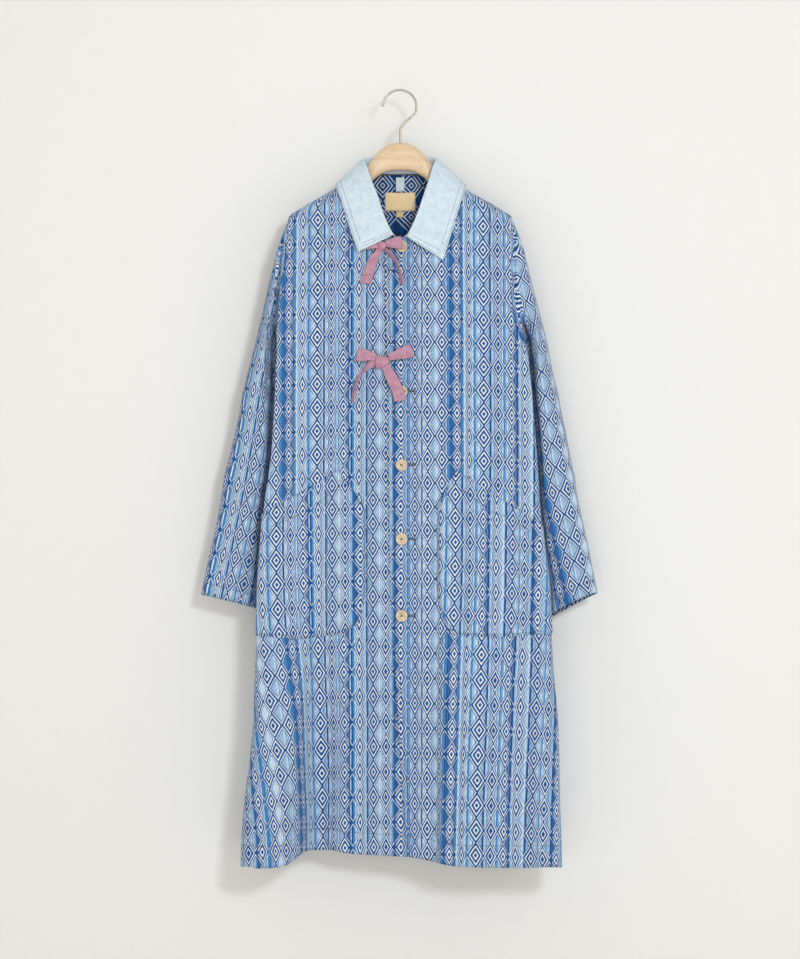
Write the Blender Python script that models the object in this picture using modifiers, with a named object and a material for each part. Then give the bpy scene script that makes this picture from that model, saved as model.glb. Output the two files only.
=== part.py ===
"""Long A-line farmer coat hanging on a wooden hanger.

Lengths in the tables are millimetres; MM turns them into metres.
X runs to the viewer's right (the wearer's left), Y away from the viewer, Z up.
The origin is the top of the inside of the hook.
Widths and levels are those seen from the front in the plane of the hanger, and
from_sight brings a point that lies nearer to the viewer in along its sight line.
"""
import math

import bmesh
import bpy
import numpy as np
from mathutils import Matrix, Vector
from mathutils.bvhtree import BVHTree

MM = 0.001

# Viewer's eye for the sizes that are measured from the front
EYE_DISTANCE = 3250
EYE_LEVEL = -602

# Cloth
CLOTH = 1.8            # coat cloth, turned and pressed at its seams
SEAM_DRAW = 0.45       # each piece's edge is drawn back this far from the seam line
LAP_RISE = 3.2         # the upper front stands this far off the lower one
LAP_END = 48           # and falls back to the common depth from here
LAP_FADE = 30
POCKET_LIFT = 0.4
POCKET_CLOTH = 1.6
COLLAR_CLOTH = 2.4
TAPE_CLOTH = 1.2
TAPE_WIDTH = 18

# Levels and points of the pattern
UNDERARM_LEVEL = -411
NECK_FRONT_LEVEL = -228
NECK_FRONT_DEPTH = -28
NECK_SIDE = (60, -122)       # where shoulder seam and neckline meet
NECK_BACK_LEVEL = -131
NECK_BACK_DEPTH = 27
NECK_BACK_BEND = 5           # the higher, the flatter the back neck and the tighter its ends
SHOULDER_ROLL = 26           # the front turns over the shoulder in this height

HEM_LEVEL = -1190
BACK_HEM_RISE = 22           # seen from the front, for what hangs level at the back

# Mesh rows, as parts of the height below and above the underarm
LOWER_ROWS = 14
ARM_ROWS = (0.0, 0.05, 0.13, 0.26, 0.43, 0.61, 0.77, 0.885, 0.955, 0.989, 1.0)
NECK_SHARES = (0, 0.2, 0.39, 0.57, 0.74, 0.88, 0.96, 1)
BACK_NECK_SHARES = (0.15, 0.45, 0.74, 0.88, 0.955)
SIDE_COLUMNS = 7
ROLL_ANGLES = (30, 60, 90)
SHOULDER_END = 7       # width of the roll's columns where they reach the shoulder


def table(columns, *rows):
    """A short table of measures as named columns."""
    values = np.array(rows, float)
    return {name: values[:, i] for i, name in enumerate(columns.split())}


def read(rows, column, at, key="level"):
    """Smooth curve through one column that never overshoots its points."""
    order = np.argsort(rows[key])
    x = rows[key][order]
    y = rows[column][order]
    step = np.diff(x)
    slope = np.diff(y) / step
    tangent = np.zeros_like(y)
    same = slope[:-1] * slope[1:] > 0
    weight_a = 2 * step[1:] + step[:-1]
    weight_b = step[1:] + 2 * step[:-1]
    safe_a = np.where(same, slope[:-1], 1)
    safe_b = np.where(same, slope[1:], 1)
    mean = (weight_a + weight_b) / (weight_a / safe_a + weight_b / safe_b)
    tangent[1:-1] = np.where(same, mean, 0)
    tangent[0] = slope[0]
    tangent[-1] = slope[-1]
    at = np.clip(np.asarray(at, float), x[0], x[-1])
    i = np.clip(np.searchsorted(x, at) - 1, 0, len(step) - 1)
    t = (at - x[i]) / step[i]
    return (y[i] * (1 + 2 * t) * (1 - t) ** 2 + tangent[i] * step[i] * t * (1 - t) ** 2
            + y[i + 1] * t * t * (3 - 2 * t) + tangent[i + 1] * step[i] * t * t * (t - 1))


def ease(t):
    """Smooth step from 0 to 1."""
    t = np.clip(t, 0, 1)
    return t * t * (3 - 2 * t)


def hump(t):
    """Bell of height 1 and standard width 1."""
    return np.exp(-0.5 * np.asarray(t, float) ** 2)


# Body outline and depths, from the hem up; depths are measured from the hanger's plane
BODY = table(
    "level right left roll front back tuck spread",
    (-1204, 248, 252, 24, 58, 62, 4, 50),
    (-1161, 247, 251, 24, 57, 62, 4, 50),
    (-1100, 242, 249, 23, 56, 62, 4, 50),
    (-1037, 234, 248, 22, 56, 61, 4, 55),
    (-975, 228, 246, 20, 55, 60, 6, 60),
    (-913, 226, 240, 17, 54, 58, 10, 75),
    (-850, 223, 236, 13, 53, 56, 14, 95),
    (-761, 220, 231, 10, 52, 54, 15, 95),
    (-700, 216, 223, 9, 51, 53, 15, 95),
    (-646, 212, 218, 8, 50, 52, 15, 95),
    (-569, 201, 213, 7, 47, 50, 15, 95),
    (-479, 195, 206, 6, 44, 46, 15, 95),
    (-411, 192, 199, 4, 41, 44, 14, 90),
)

# Armhole seam from the underarm to the shoulder: its place and turn on the front, and
# its depth on the back
ARMHOLE = table(
    "level right left turn back_depth",
    (-411, 192, 199, 90, -37),
    (-398, 191.5, 195.5, 78, -26),
    (-380, 191, 186, 62, -8),
    (-352, 189, 177, 45, 12),
    (-304, 185, 172, 32, 29),
    (-256, 180, 171, 26, 29),
    (-215, 174, 171, 20, 18),
    (-191, 169, 171, 0, 0),
)

# Depths of the front and the back above the underarm
CHEST = table(
    "level front back",
    (-411, 41, 44), (-350, 38, 42), (-300, 34, 38), (-250, 29, 33), (-200, 25, 28), (-120, 24, 27),
)

# Front neckline from the centre to the shoulder seam
NECK = table(
    "out level",
    (0, -228), (8, -226), (20, -212), (31, -192), (41, -170), (50, -150), (56, -134), (60, -122),
)

# Shoulder seam from neck to sleeve
SHOULDER = table(
    "out level",
    (60, -122), (75, -133), (100, -149.5), (121, -162), (144, -175), (160, -185), (172, -193),
)

# Level of the front hem across the coat
HEM = table(
    "across level",
    (-250, -1202), (-225, -1205), (-192, -1204), (-175, -1199), (-162, -1190), (-150, -1180),
    (-138, -1176), (-110, -1176), (-85, -1181), (-30, -1185), (10, -1187), (42, -1192),
    (60, -1197), (92, -1202), (155, -1204), (252, -1203),
)

# Edge of the upper front along the buttons, and the lower front's hidden edge
FRONT_EDGE = table(
    "level upper lower",
    (-1190, 11, 46), (-1116, 6, 42), (-1065, 2, 38), (-1000, -2, 34), (-936, -6, 31),
    (-871, -11, 28), (-800, -14, 26), (-634, -18, 23), (-496, -19, 22), (-378, -22, 22),
    (-308, -24, 20), (-236, -24, 20),
)

# Soft vertical folds of the front: where they run, how wide, and how deep at the hem
FOLDS = table(
    "at_hem at_top top width depth",
    (-208, -190, -640, 30, 24),
    (-130, -118, -640, 17, -34),
    (-88, -80, -600, 52, -34),
    (12, 8, -560, 48, -14),
    (138, 120, -640, 36, 10),
    (190, 168, -700, 18, -9),
    (222, 205, -700, 16, 8),
)
CREASE = {"at": 58, "top": -480, "half": 9, "step": 17}

# Soft vertical folds of the back, deep towards the front
BACK_FOLDS = table(
    "at_hem at_top top width depth",
    (-150, -90, -500, 26, -16),
    (-40, -30, -420, 30, 6),
    (70, 50, -450, 24, -14),
    (165, 120, -600, 22, -10),
)

# Sleeves: the outer line is the outline from the front, the inner line runs
# from the underarm behind the body's edge to the cuff; lean flattens the inner part of the front
SLEEVE_RIGHT = table(
    "along out_x out_z out_y in_x in_z in_y depth lean arch",
    (0.00, 169, -191, 0, 192, -411, -37, 33, 0.0, 0),
    (0.12, 184, -226, 2, 196, -413, -30, 33, 0.0, 0),
    (0.24, 200, -288, 5, 200, -417, -11, 33, 0.03, 0),
    (0.35, 212, -338, 7, 199, -430, -5, 33.5, 0.1, 0),
    (0.45, 224, -386, 8, 197, -443, 9, 32, 0.0, 0),
    (0.55, 238, -448, 9, 191.5, -477.5, 14, 33.5, 0.5, 0),
    (0.66, 254, -523, 9, 174, -517, 22.5, 32, 0.5, 0),
    (0.78, 274, -612, 9, 158, -640, 29, 27, 0.1, 0),
    (0.89, 291, -700, 9, 157, -735, 35, 24, 0.0, 0),
    (1.00, 308, -781, 9, 166, -819, 38, 20, 0.0, 2),
)
SLEEVE_LEFT = table(
    "along out_x out_z out_y in_x in_z in_y depth lean arch",
    (0.00, 171, -191, 0, 199, -411, -37, 33, 0.0, 0),
    (0.12, 186, -226, 2, 203, -413, -30.5, 34.5, 0.0, 0),
    (0.24, 202, -286, 5, 205.5, -420, -17, 30.5, 0.3, 0),
    (0.35, 215, -338, 7, 206.5, -430.5, -6, 34.5, 0.0, 0),
    (0.45, 227, -386, 8, 203, -441, 0, 32.5, 0.0, 0),
    (0.55, 240, -448, 9, 197.5, -481, 12, 34.5, 0.5, 0),
    (0.66, 255, -523, 9, 184.5, -530.5, 17.5, 32.5, 0.3, 0),
    (0.78, 273, -615, 9, 168, -640, 29, 27, 0.1, 0),
    (0.89, 290, -700, 9, 168, -745, 35, 24, 0.0, 3),
    (1.00, 307, -778, 9, 178, -848, 38, 20, 0.0, 8),
)
SLEEVE_EASE = 3        # between a sleeve and the body
SLEEVE_RINGS = (0.04, 0.08, 0.13, 0.18, 0.24, 0.30, 0.37, 0.45, 0.53, 0.61, 0.70, 0.79, 0.87, 0.94, 1.0)
SLEEVE_HEAD = 0.35     # the sleeve takes its own shape by here
SLEEVE_FREE = 0.50     # and is kept clear of the body from here
UNDERARM_END = 0.50    # the cloth is evened out at the underarm as far down as this
UNDERARM_FADE = 0.20
UNDERARM_REACH = 0.80
UNDERARM_STEPS = 100
ROUND_SHARE = 0.6      # how much of it goes around the sleeve rather than along

# Collar: roll line and outer edge from the front end round to the back of the neck;
# seam is how far along the neckline, from the centre front, the stand is sewn
COLLAR_RIGHT = table(
    "along seam roll_x roll_z roll_y edge_x edge_z edge_y",
    (0.00, 6, 12, -223, -42, 65, -249, -41),
    (0.14, 19, 22, -204, -41, 76, -219, -36),
    (0.28, 31, 30.5, -181, -40, 84, -193, -29),
    (0.42, 41, 38, -158, -38, 91, -171, -27),
    (0.54, 50, 46, -138, -32, 97, -154, -20),
    (0.64, 56, 54, -114, -18, 99, -147, -9),
    (0.72, 60, 57.5, -106, 0, 98, -146, 3),
    (0.80, 57, 54, -105, 15, 90, -153, 25),
    (0.90, 32, 34, -103, 28, 58, -166, 42),
    (1.00, 0, 0, -103, 31, 0, -172, 47),
)
COLLAR_LEFT = table(
    "along seam roll_x roll_z roll_y edge_x edge_z edge_y",
    (0.00, 6, 12.5, -226, -44, 67, -262, -36),
    (0.14, 19, 21, -208, -42, 78, -226, -33),
    (0.28, 31, 30.5, -184, -41, 87, -196, -29),
    (0.42, 41, 38.5, -160, -38, 95, -170, -27),
    (0.54, 50, 46, -138.5, -32, 101, -153, -20),
    (0.64, 56, 54, -114, -18, 102, -148, -9),
    (0.72, 60, 57.5, -106, 0, 101, -147, 3),
    (0.80, 57, 54, -105, 15, 92, -153, 25),
    (0.90, 32, 34, -103, 28, 58, -166, 42),
    (1.00, 0, 0, -103, 31, 0, -172, 47),
)
COLLAR_STATIONS = 17
COLLAR_FALL_ROWS = 5
COLLAR_EASE = 2.4      # between the collar's underside and the coat
SEAM_LIFT = 2.2        # the stand starts this far up from the neckline
ROLL_RADIUS = 2.8
COLLAR_SHOULDER = 0.74 # the seam is on the front as far as here, then on the back

# Hip pockets: corners seen from the front, from the top inner corner round to the side
POCKET_RIGHT = ((-97, -588), (-82, -605), (-53, -647), (-52, -773), (-59, -804), (-68, -828),
                (-94, -842), (-155, -849.5), (-230, -843), (-230, -665))
POCKET_LEFT = ((88, -588), (75, -607), (58, -645), (58, -773), (64, -804), (72, -829),
               (86, -843), (155, -846), (250, -840), (250, -692))

# Left cuff: the back of the cuff hangs this much lower than its front
LEFT_CUFF_DROP = 6

# Buttons on the centre line
BUTTON_X = 2.5
BUTTON_LEVELS = (-237.5, -465, -579.5, -694.5, -813.8)
BUTTON_RADIUS = 9
BUTTON_THICK = 3.4
BUTTON_SEAT = 0.35     # between a button's back and the cloth
BUTTON_DEPTH = -60     # where sight lines to the buttons end
BUTTON_STEPS = 14
BUTTON_PROFILE = (     # from the centre of the face over the rim to the back: radius, height
    (0, 0.5), (0.52, 0.5), (0.66, 1), (0.86, 1), (1, 0.6), (0.94, 0.15), (0.8, 0), (0, 0),
)
VIEW_START = -400      # rays that look for the cloth start here

# Tape bows, each point as across, depth and level
LOOP_POINTS = 13
TAIL_POINTS = 9
LOOP_WIDTH = 19.5      # a loop's fold lies at a slant across the tape
LOOP_ROUND = 0.75      # the lower, the rounder a loop's end
LOOP_CLOSE = 0.45      # a loop's two sides near this part of their gap at the knot
LOOP_FLARE = 1.3       # how soon a loop comes to its full width
TAIL_FLARE = 3
KNOT_ROUNDING = 0.3    # of its smallest side
UPPER_BOW = {
    "knot": (-27, -38.5, -240), "knot_size": (13, 9, 13),
    "loops": {
        "left": {"root": (-19.5, -41, -237), "tip": (2.5, -44, -234.5), "gap": 3.2, "pinch": 9,
                 "way": (-0.2, 0, 1)},
        "right": {"root": (-34.5, -36.7, -239), "tip": (-70, -33.9, -235), "gap": 2.4, "pinch": 9,
                  "way": (-0.1, 0, 1)},
    },
    "tails": {
        "right": {"path": ((-33, -38.5, -247.7), (-40, -38, -259), (-47, -37, -277), (-54, -38, -298)),
                  "ways": ((1, 0, 0.1), (1, 0, 0.25), (1, 0, 0.25), (1, 0, -0.1)), "pinch": 11},
        "left": {"path": ((-21, -39, -248.5), (-11, -42.5, -257), (-3, -44.5, -272), (4, -48, -299)),
                 "ways": ((0.5, -1, 0.1), (0.3, -1, 0.1), (0.25, -1, 0), (0.25, -1, 0)), "pinch": 11},
    },
}
LOWER_BOW = {
    "knot": (-27.5, -50.5, -419.5), "knot_size": (22.6, 10, 17.6),
    "loops": {
        "left": {"root": (-15.6, -52.5, -413), "tip": (18.5, -56.5, -402), "gap": 4, "pinch": 10,
                 "way": (-0.42, 0, 1)},
        "right": {"root": (-39.6, -52.5, -412), "tip": (-65.5, -54.5, -408), "gap": 3.5, "pinch": 10,
                  "way": (0.23, 0, 1)},
    },
    "tails": {
        "right": {"path": ((-40, -50.5, -423), (-52, -52, -428), (-63, -53.6, -439), (-70, -54.4, -458),
                           (-74, -54, -482)),
                  "ways": ((0.1, 0, 1), (0.3, -0.3, 0.8), (0.5, -0.8, 0.4), (0.2, -1, 0.05), (0.2, -1, 0)),
                  "pinch": 12},
        "left": {"path": ((-20, -51.5, -429.5), (-11, -54, -448), (-3, -56.7, -466), (0, -56.7, -480)),
                 "ways": ((1, 0, 0.4), (1, 0, 0.35), (1, 0, 0.25), (1, 0, 0.2)), "pinch": 13},
    },
}

# Inside the neck: left, right, low and high edge as seen from the front
LABEL_BOX = (-23, 23.8, -186.3, -157.8)
LABEL_CLOTH = 0.7
TAB_BOX = (-6, 5.2, -196, -187)
TAB_CLOTH = 0.5
LABEL_LIFT = 0.5
HANGING_LOOP = {"x": 0.2, "lift": 2.5, "width": 13, "cloth": 1.2}
HANGING_LOOP_PATH = (  # depth and level, down its back and up its front
    (1.2, -134), (1.2, -144), (1, -152), (0, -155.4), (-1, -152), (-1.2, -144), (-1.2, -134),
)

# Hanger: top line, height and half thickness of the wood
WOOD = table(
    "out top height half",
    (0, -80, 43, 8.5), (10, -81, 42.5, 8.5), (19, -84, 41, 8.5), (35, -96, 37, 8.5),
    (44, -107, 34, 7.5), (52.7, -118.5, 29, 5), (60, -128, 26, 5), (68, -135, 25, 6.5), (75, -140, 24, 8.5),
    (100, -156, 22, 10), (130, -174, 19, 11), (150, -187, 16, 10), (158, -195, 11, 7), (162, -200, 5, 4),
)

WOOD_STATIONS = (0, 10, 20, 32, 44, 54, 64, 78, 96, 116, 136, 150, 158, 162)
WOOD_SIDES = 12
WOOD_CORNER = 0.8      # 1 is an oval section, less is squarer

# Hook: a round wire from its open end over the top, then a bend back to the shank
WIRE = 3.2
HOOK_RADIUS = 25.9
HOOK_CENTRE = (-0.4, -24.3)
HOOK_START = 176       # degrees, where the open end is
SHANK_X = 0.5
HOOK_BEND = (
    (24.2, -32), (20.6, -37.4), (13.5, -43.6), (7.3, -49), (2.6, -55), (SHANK_X, -61), (SHANK_X, -74),
)
SHANK_SEAT = 12        # the shank's bore is this deep
SHANK_GAP = 0.3        # between the shank and its bore
HOOK_ARC_POINTS = 15
HOOK_BEND_POINTS = 14


def seen_scale(y):
    """Size of what lies at depth y against what the same outline is in the hanger's plane."""
    return 1 + y / EYE_DISTANCE


def from_sight(points):
    """Real places of points whose x and z are those seen in the hanger's plane."""
    points = np.asarray(points, float)
    scale = seen_scale(points[..., 1])
    real = points.copy()
    real[..., 0] = points[..., 0] * scale
    real[..., 2] = EYE_LEVEL + (points[..., 2] - EYE_LEVEL) * scale
    return real


def fold_depth(folds, across, level):
    """Sum of the folds at a place; each fades out towards its top."""
    total = np.zeros(np.broadcast(across, level).shape)
    for i in range(len(folds["top"])):
        rise = np.clip((level - HEM_LEVEL) / (folds["top"][i] - HEM_LEVEL), 0, 1)
        centre = folds["at_hem"][i] + (folds["at_top"][i] - folds["at_hem"][i]) * rise
        total += folds["depth"][i] * (1 - ease(rise)) * hump((across - centre) / folds["width"][i])
    return total


def front_depth(across, level):
    """How far the front stands before the hanger's plane, folds and all."""
    body = np.where(level < UNDERARM_LEVEL, read(BODY, "front", level), read(CHEST, "front", level))
    rise = np.clip((level - HEM_LEVEL) / (CREASE["top"] - HEM_LEVEL), 0, 1)
    step = CREASE["step"] * (1 - rise) * ease((across - CREASE["at"]) / CREASE["half"] + 0.5)
    return body + fold_depth(FOLDS, across, level) + step


def top_line(across):
    """Level and depth of a front's top edge: neckline inside, shoulder seam outside.

    across is negative where the front laps over the centre; the neckline runs level there.
    """
    out = np.maximum(across, 0)
    part = np.clip(out / NECK_SIDE[0], 0, 1)
    neck_depth = NECK_FRONT_DEPTH * np.sqrt(np.clip(1 - part ** 6, 0, 1))
    neck = read(NECK, "level", out, key="out")
    shoulder = read(SHOULDER, "level", out, key="out")
    inside = out < NECK_SIDE[0]
    return np.where(inside, neck, shoulder), np.where(inside, neck_depth, 0)


def body_rows(hem, top):
    """Levels of the rows of one column, from hem to underarm to top edge."""
    lower = hem + (UNDERARM_LEVEL - hem) * np.linspace(0, 1, LOWER_ROWS + 1)
    upper = UNDERARM_LEVEL + (top - UNDERARM_LEVEL) * np.array(ARM_ROWS[1:])
    return np.concatenate([lower, upper])


def fall_from_top(y, top_depth, drop):
    """Bring depths back to the top edge where the cloth turns over the shoulder."""
    fallen = np.clip(drop / SHOULDER_ROLL, 0, 1)
    return top_depth + (y - top_depth) * np.sqrt(1 - (1 - fallen) ** 2)


def front_column(side, part, z, top, top_depth, angle=0):
    """One column of a front: part of the width, then an angle round the side's roll."""
    edge_name = "right" if side < 0 else "left"
    inner_name = "lower" if side < 0 else "upper"
    upper = z > UNDERARM_LEVEL
    edge = np.where(upper, read(ARMHOLE, edge_name, z), read(BODY, edge_name, z))
    roll = np.where(upper, BODY["roll"][-1], read(BODY, "roll", z))
    turn = np.radians(np.where(upper, read(ARMHOLE, "turn", z), 90))
    inner = read(FRONT_EDGE, inner_name, z) * side
    end = SHOULDER_END * (1 - turn / np.radians(90))
    corner = edge - roll * np.sin(turn) - end
    flat_x = inner + (corner - inner) * part
    phi = turn * angle / 90
    x = flat_x + roll * np.sin(phi) + end * angle / 90
    y = roll * (1 - np.cos(phi)) - front_depth(flat_x * side, z)
    y = fall_from_top(y, top_depth, top - z)
    if side > 0:
        y = y - lap_rise(flat_x)
    return np.stack([side * x, y, z], axis=1)


def lap_rise(across):
    """How far the upper front stands off where it laps over the lower one."""
    return LAP_RISE * (1 - ease((across - LAP_END) / LAP_FADE))


def front_grid(side):
    """Outer face of one front. Rows run up from the hem, columns out from the front edge.

    side is -1 for the wearer's right front and 1 for the left one.
    """
    edge_name = "right" if side < 0 else "left"
    inner_name = "lower" if side < 0 else "upper"
    inner_top = float(read(FRONT_EDGE, inner_name, NECK_FRONT_LEVEL)) * side
    outer_top = float(ARMHOLE[edge_name][-1])
    neck_part = (NECK_SIDE[0] - inner_top) / (outer_top - SHOULDER_END - inner_top)
    parts = np.concatenate([np.array(NECK_SHARES) * neck_part,
                            np.linspace(neck_part, 1, SIDE_COLUMNS + 1)[1:]])
    hem_inner = float(read(FRONT_EDGE, inner_name, HEM_LEVEL)) * side
    hem_edge = float(BODY[edge_name][0])
    hem_corner = hem_edge - float(BODY["roll"][0])
    corner_top = outer_top - SHOULDER_END
    places = [(part, 0, inner_top + (corner_top - inner_top) * part,
               hem_inner + (hem_corner - hem_inner) * part) for part in parts]
    places += [(1, angle, corner_top + SHOULDER_END * angle / 90, hem_edge) for angle in ROLL_ANGLES]
    columns = []
    for part, angle, across_top, across_hem in places:
        top, top_depth = top_line(across_top)
        hem = float(read(HEM, "level", side * across_hem, key="across"))
        rows = body_rows(hem, float(top))
        columns.append(front_column(side, part, rows, float(top), float(top_depth), angle))
    return np.array(columns).transpose(1, 0, 2)


def back_ends(front, edge_name):
    """The back's outer column: the front's side seam, then the back of the armhole."""
    ends = front[:, -1].copy()
    arm = ends[LOWER_ROWS:]
    arm[1:, 1] = read(ARMHOLE, "back_depth", arm[1:, 2])
    arm[-1, 1] = 0
    return ends


def back_top(right_front, left_front):
    """Top edge of the back: the fronts' shoulder seams with the back neckline between them."""
    right = right_front[-1, len(NECK_SHARES) - 1:][::-1]
    left = left_front[-1, len(NECK_SHARES) - 1:]
    shares = np.array(BACK_NECK_SHARES)
    x = np.concatenate([-shares[::-1], shares]) * NECK_SIDE[0]
    part = np.abs(x) / NECK_SIDE[0]
    y = NECK_BACK_DEPTH * np.sqrt(1 - part ** NECK_BACK_BEND)
    z = NECK_BACK_LEVEL + (NECK_SIDE[1] - NECK_BACK_LEVEL) * part ** 4
    return np.concatenate([right, np.stack([x, y, z], axis=1), left])


def back_grid(right_front, left_front):
    """Outer face of the back, from the wearer's right side seam to the left one."""
    right = back_ends(right_front, "right")
    left = back_ends(left_front, "left")
    top_row = back_top(right_front, left_front)
    parts = (top_row[:, 0] - top_row[0, 0]) / (top_row[-1, 0] - top_row[0, 0])
    hem_end = right[0, 2] + (left[0, 2] - right[0, 2]) * parts
    hem = hem_end + BACK_HEM_RISE * (1 - np.abs(2 * parts - 1) ** 6)
    levels = np.array([body_rows(low, high) for low, high in zip(hem, top_row[:, 2])]).T
    rows = []
    for row, z in enumerate(levels[:-1]):
        start = right[row]
        end = left[row]
        x = start[0] + (end[0] - start[0]) * parts
        inset = np.minimum(x - start[0], end[0] - x)
        near = np.where(parts < 0.5, start[1], end[1])
        base = np.minimum(z, UNDERARM_LEVEL)
        body = np.where(z < UNDERARM_LEVEL, read(BODY, "back", z), read(CHEST, "back", z))
        full = body + fold_depth(BACK_FOLDS, x, z)
        arm = ARM_ROWS[max(0, row - LOWER_ROWS)]
        roll = read(BODY, "roll", base) * (1 - arm)
        tuck = read(BODY, "tuck", base) * (1 - arm) ** 2
        spread = read(BODY, "spread", base) * (1 - 0.35 * arm)
        rim = roll * np.sqrt(1 - (1 - np.clip(inset / np.maximum(roll, 1), 0, 1)) ** 2)
        y = near + rim + (full - near - rim) * ease((inset - tuck) / (spread - tuck))
        y = fall_from_top(y, top_row[:, 1], top_row[:, 2] - z)
        y[0] = start[1]
        y[-1] = end[1]
        rows.append(np.stack([x, y, z], axis=1))
    rows.append(top_row)
    return np.array(rows)


def sleeve_grid(measures, side, front_end, back_end, back_drop):
    """Outer face of a sleeve as rings down from the armhole, the seam at the underarm."""
    arm_front = front_end[LOWER_ROWS:]
    arm_back = back_end[LOWER_ROWS:][::-1]
    armhole = np.concatenate([arm_front, arm_back[1:-1]])
    half = len(ARM_ROWS) - 1
    arm_share = 2 * np.array(ARM_ROWS) - 1
    even_share = -np.cos(np.pi * np.arange(half + 1) / half)
    face = np.concatenate([-np.ones(half + 1), np.ones(half - 1)])
    shares = (np.concatenate([arm_share, arm_share[1:-1][::-1]]),
              np.concatenate([even_share, even_share[1:-1][::-1]]))
    start = sleeve_ring(measures, side, 0, shares[0], face, back_drop)
    rings = [armhole]
    for along in SLEEVE_RINGS:
        settle = ease(along / SLEEVE_HEAD)
        share = shares[0] + (shares[1] - shares[0]) * ease(along - SLEEVE_HEAD)
        ring = sleeve_ring(measures, side, along, share, face, back_drop)
        rings.append(ring + (armhole - start) * (1 - settle))
    rings = np.array(rings)
    low = ease(-shares[0] / UNDERARM_REACH)
    high = ease((UNDERARM_END - np.array(SLEEVE_RINGS[:-1])) / UNDERARM_FADE)
    weight = high[:, None, None] * low[:, None]
    for _ in range(UNDERARM_STEPS):
        around = (np.roll(rings, 1, axis=1) + np.roll(rings, -1, axis=1)) / 2
        along = (rings[:-2] + rings[2:]) / 2
        even = ROUND_SHARE * around[1:-1] + (1 - ROUND_SHARE) * along
        rings[1:-1] += (even - rings[1:-1]) * weight
    return rings[::-1]


def sleeve_ring(measures, side, along, share, face, back_drop):
    """One ring of a sleeve: a flat oval between its outer and its inner line."""
    def at(column):
        return float(read(measures, column, along, key="along"))

    outer = np.array((side * at("out_x"), at("out_y"), at("out_z")))
    inner = np.array((side * at("in_x"), at("in_y"), at("in_z")))
    middle = (outer + inner) / 2
    ring = middle + np.outer(share, (outer - inner) / 2)
    bulge = np.sqrt(np.clip(1 - share ** 2, 0, 1))
    inside = ease((0.1 - share) / 1.1)
    front_bulge = bulge * (1 - at("lean") * inside * (face < 0))
    ring[:, 1] += face * at("depth") * front_bulge
    ring[:, 2] += at("arch") * bulge - back_drop * along ** 4 * bulge * (face > 0)
    return ring


def pulled_back(points, wrap):
    """Draw the edges of a grid back from the seam line."""
    moved = points.copy()
    for axis in ((0,) if wrap else (0, 1)):
        for edge, inside in ((0, 1), (-1, -2)):
            here = np.take(points, edge, axis=axis)
            step = np.take(points, inside, axis=axis) - here
            step /= np.maximum(np.linalg.norm(step, axis=1, keepdims=True), 1e-9)
            index = (edge, slice(None)) if axis == 0 else (slice(None), edge)
            moved[index] += step * SEAM_DRAW
    return moved


def seam_key(point):
    """Name of a place, the same for the pieces that meet there."""
    return tuple(np.round(point, 2))


def cloth_walls(pieces):
    """Outer and inner faces of sewn pieces; at a seam both walls are cut in one direction."""
    normals = {}
    for grid, wrap, flip in pieces.values():
        points = grid.reshape(-1, 3)
        for face in grid_faces(*grid.shape[:2], wrap, 0, flip):
            corners = points[list(face)]
            for i in range(3):
                a = corners[(i + 1) % 3] - corners[i]
                b = corners[(i + 2) % 3] - corners[i]
                normal = np.cross(a, b)
                size = np.linalg.norm(normal)
                if size > 0:
                    angle = math.atan2(size, np.dot(a, b))
                    key = seam_key(corners[i])
                    normals[key] = normals.get(key, 0) + normal / size * angle
    walls = {}
    for name, (grid, wrap, _) in pieces.items():
        shared = np.array([normals[seam_key(point)] for point in grid.reshape(-1, 3)])
        shared /= np.linalg.norm(shared, axis=1, keepdims=True)
        inner = grid - CLOTH * shared.reshape(grid.shape)
        walls[name] = (pulled_back(grid, wrap), pulled_back(inner, wrap))
    return walls


def grid_faces(rows, columns, wrap, start=0, reverse=False):
    """Triangles of a grid of points, counted from start."""
    faces = []
    for i in range(rows - 1):
        for j in range(columns if wrap else columns - 1):
            a = start + i * columns + j
            b = start + i * columns + (j + 1) % columns
            c = b + columns
            d = a + columns
            faces += [(c, b, a), (d, c, a)] if reverse else [(a, b, c), (a, c, d)]
    return faces


def rim_faces(rows, columns, wrap, reverse):
    """Quads that join the edges of an outer grid to those of the inner grid after it."""
    size = rows * columns
    loops = []
    if wrap:
        for row in (0, rows - 1):
            ring = [row * columns + j for j in range(columns)]
            loops.append(ring if row == 0 else ring[::-1])
    else:
        bottom = [j for j in range(columns)]
        right = [i * columns + columns - 1 for i in range(1, rows)]
        top = [(rows - 1) * columns + j for j in range(columns - 2, -1, -1)]
        left = [i * columns for i in range(rows - 2, 0, -1)]
        loops.append(bottom + right + top + left)
    faces = []
    for loop in loops:
        for a, b in zip(loop, loop[1:] + loop[:1]):
            quad = (b, a, size + a, size + b)
            faces.append(quad[::-1] if reverse else quad)
    return faces


def material(name, colour, roughness, metallic=0.0):
    """Principled material of one colour."""
    made = bpy.data.materials.new(name)
    made.use_nodes = True
    shader = made.node_tree.nodes["Principled BSDF"]
    shader.inputs["Base Color"].default_value = (*colour, 1)
    shader.inputs["Roughness"].default_value = roughness
    shader.inputs["Metallic"].default_value = metallic
    made.diffuse_color = (*colour, 1)
    return made


def add_mesh(name, points, faces, finish, smooth=True):
    """A named object of the coat from points in millimetres."""
    mesh = bpy.data.meshes.new(name)
    mesh.from_pydata([tuple(p) for p in np.asarray(points) * MM], [], faces)
    mesh.materials.append(finish)
    if smooth:
        mesh.shade_smooth()
    made = bpy.data.objects.new(name, mesh)
    parts_collection.objects.link(made)
    return made


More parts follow.
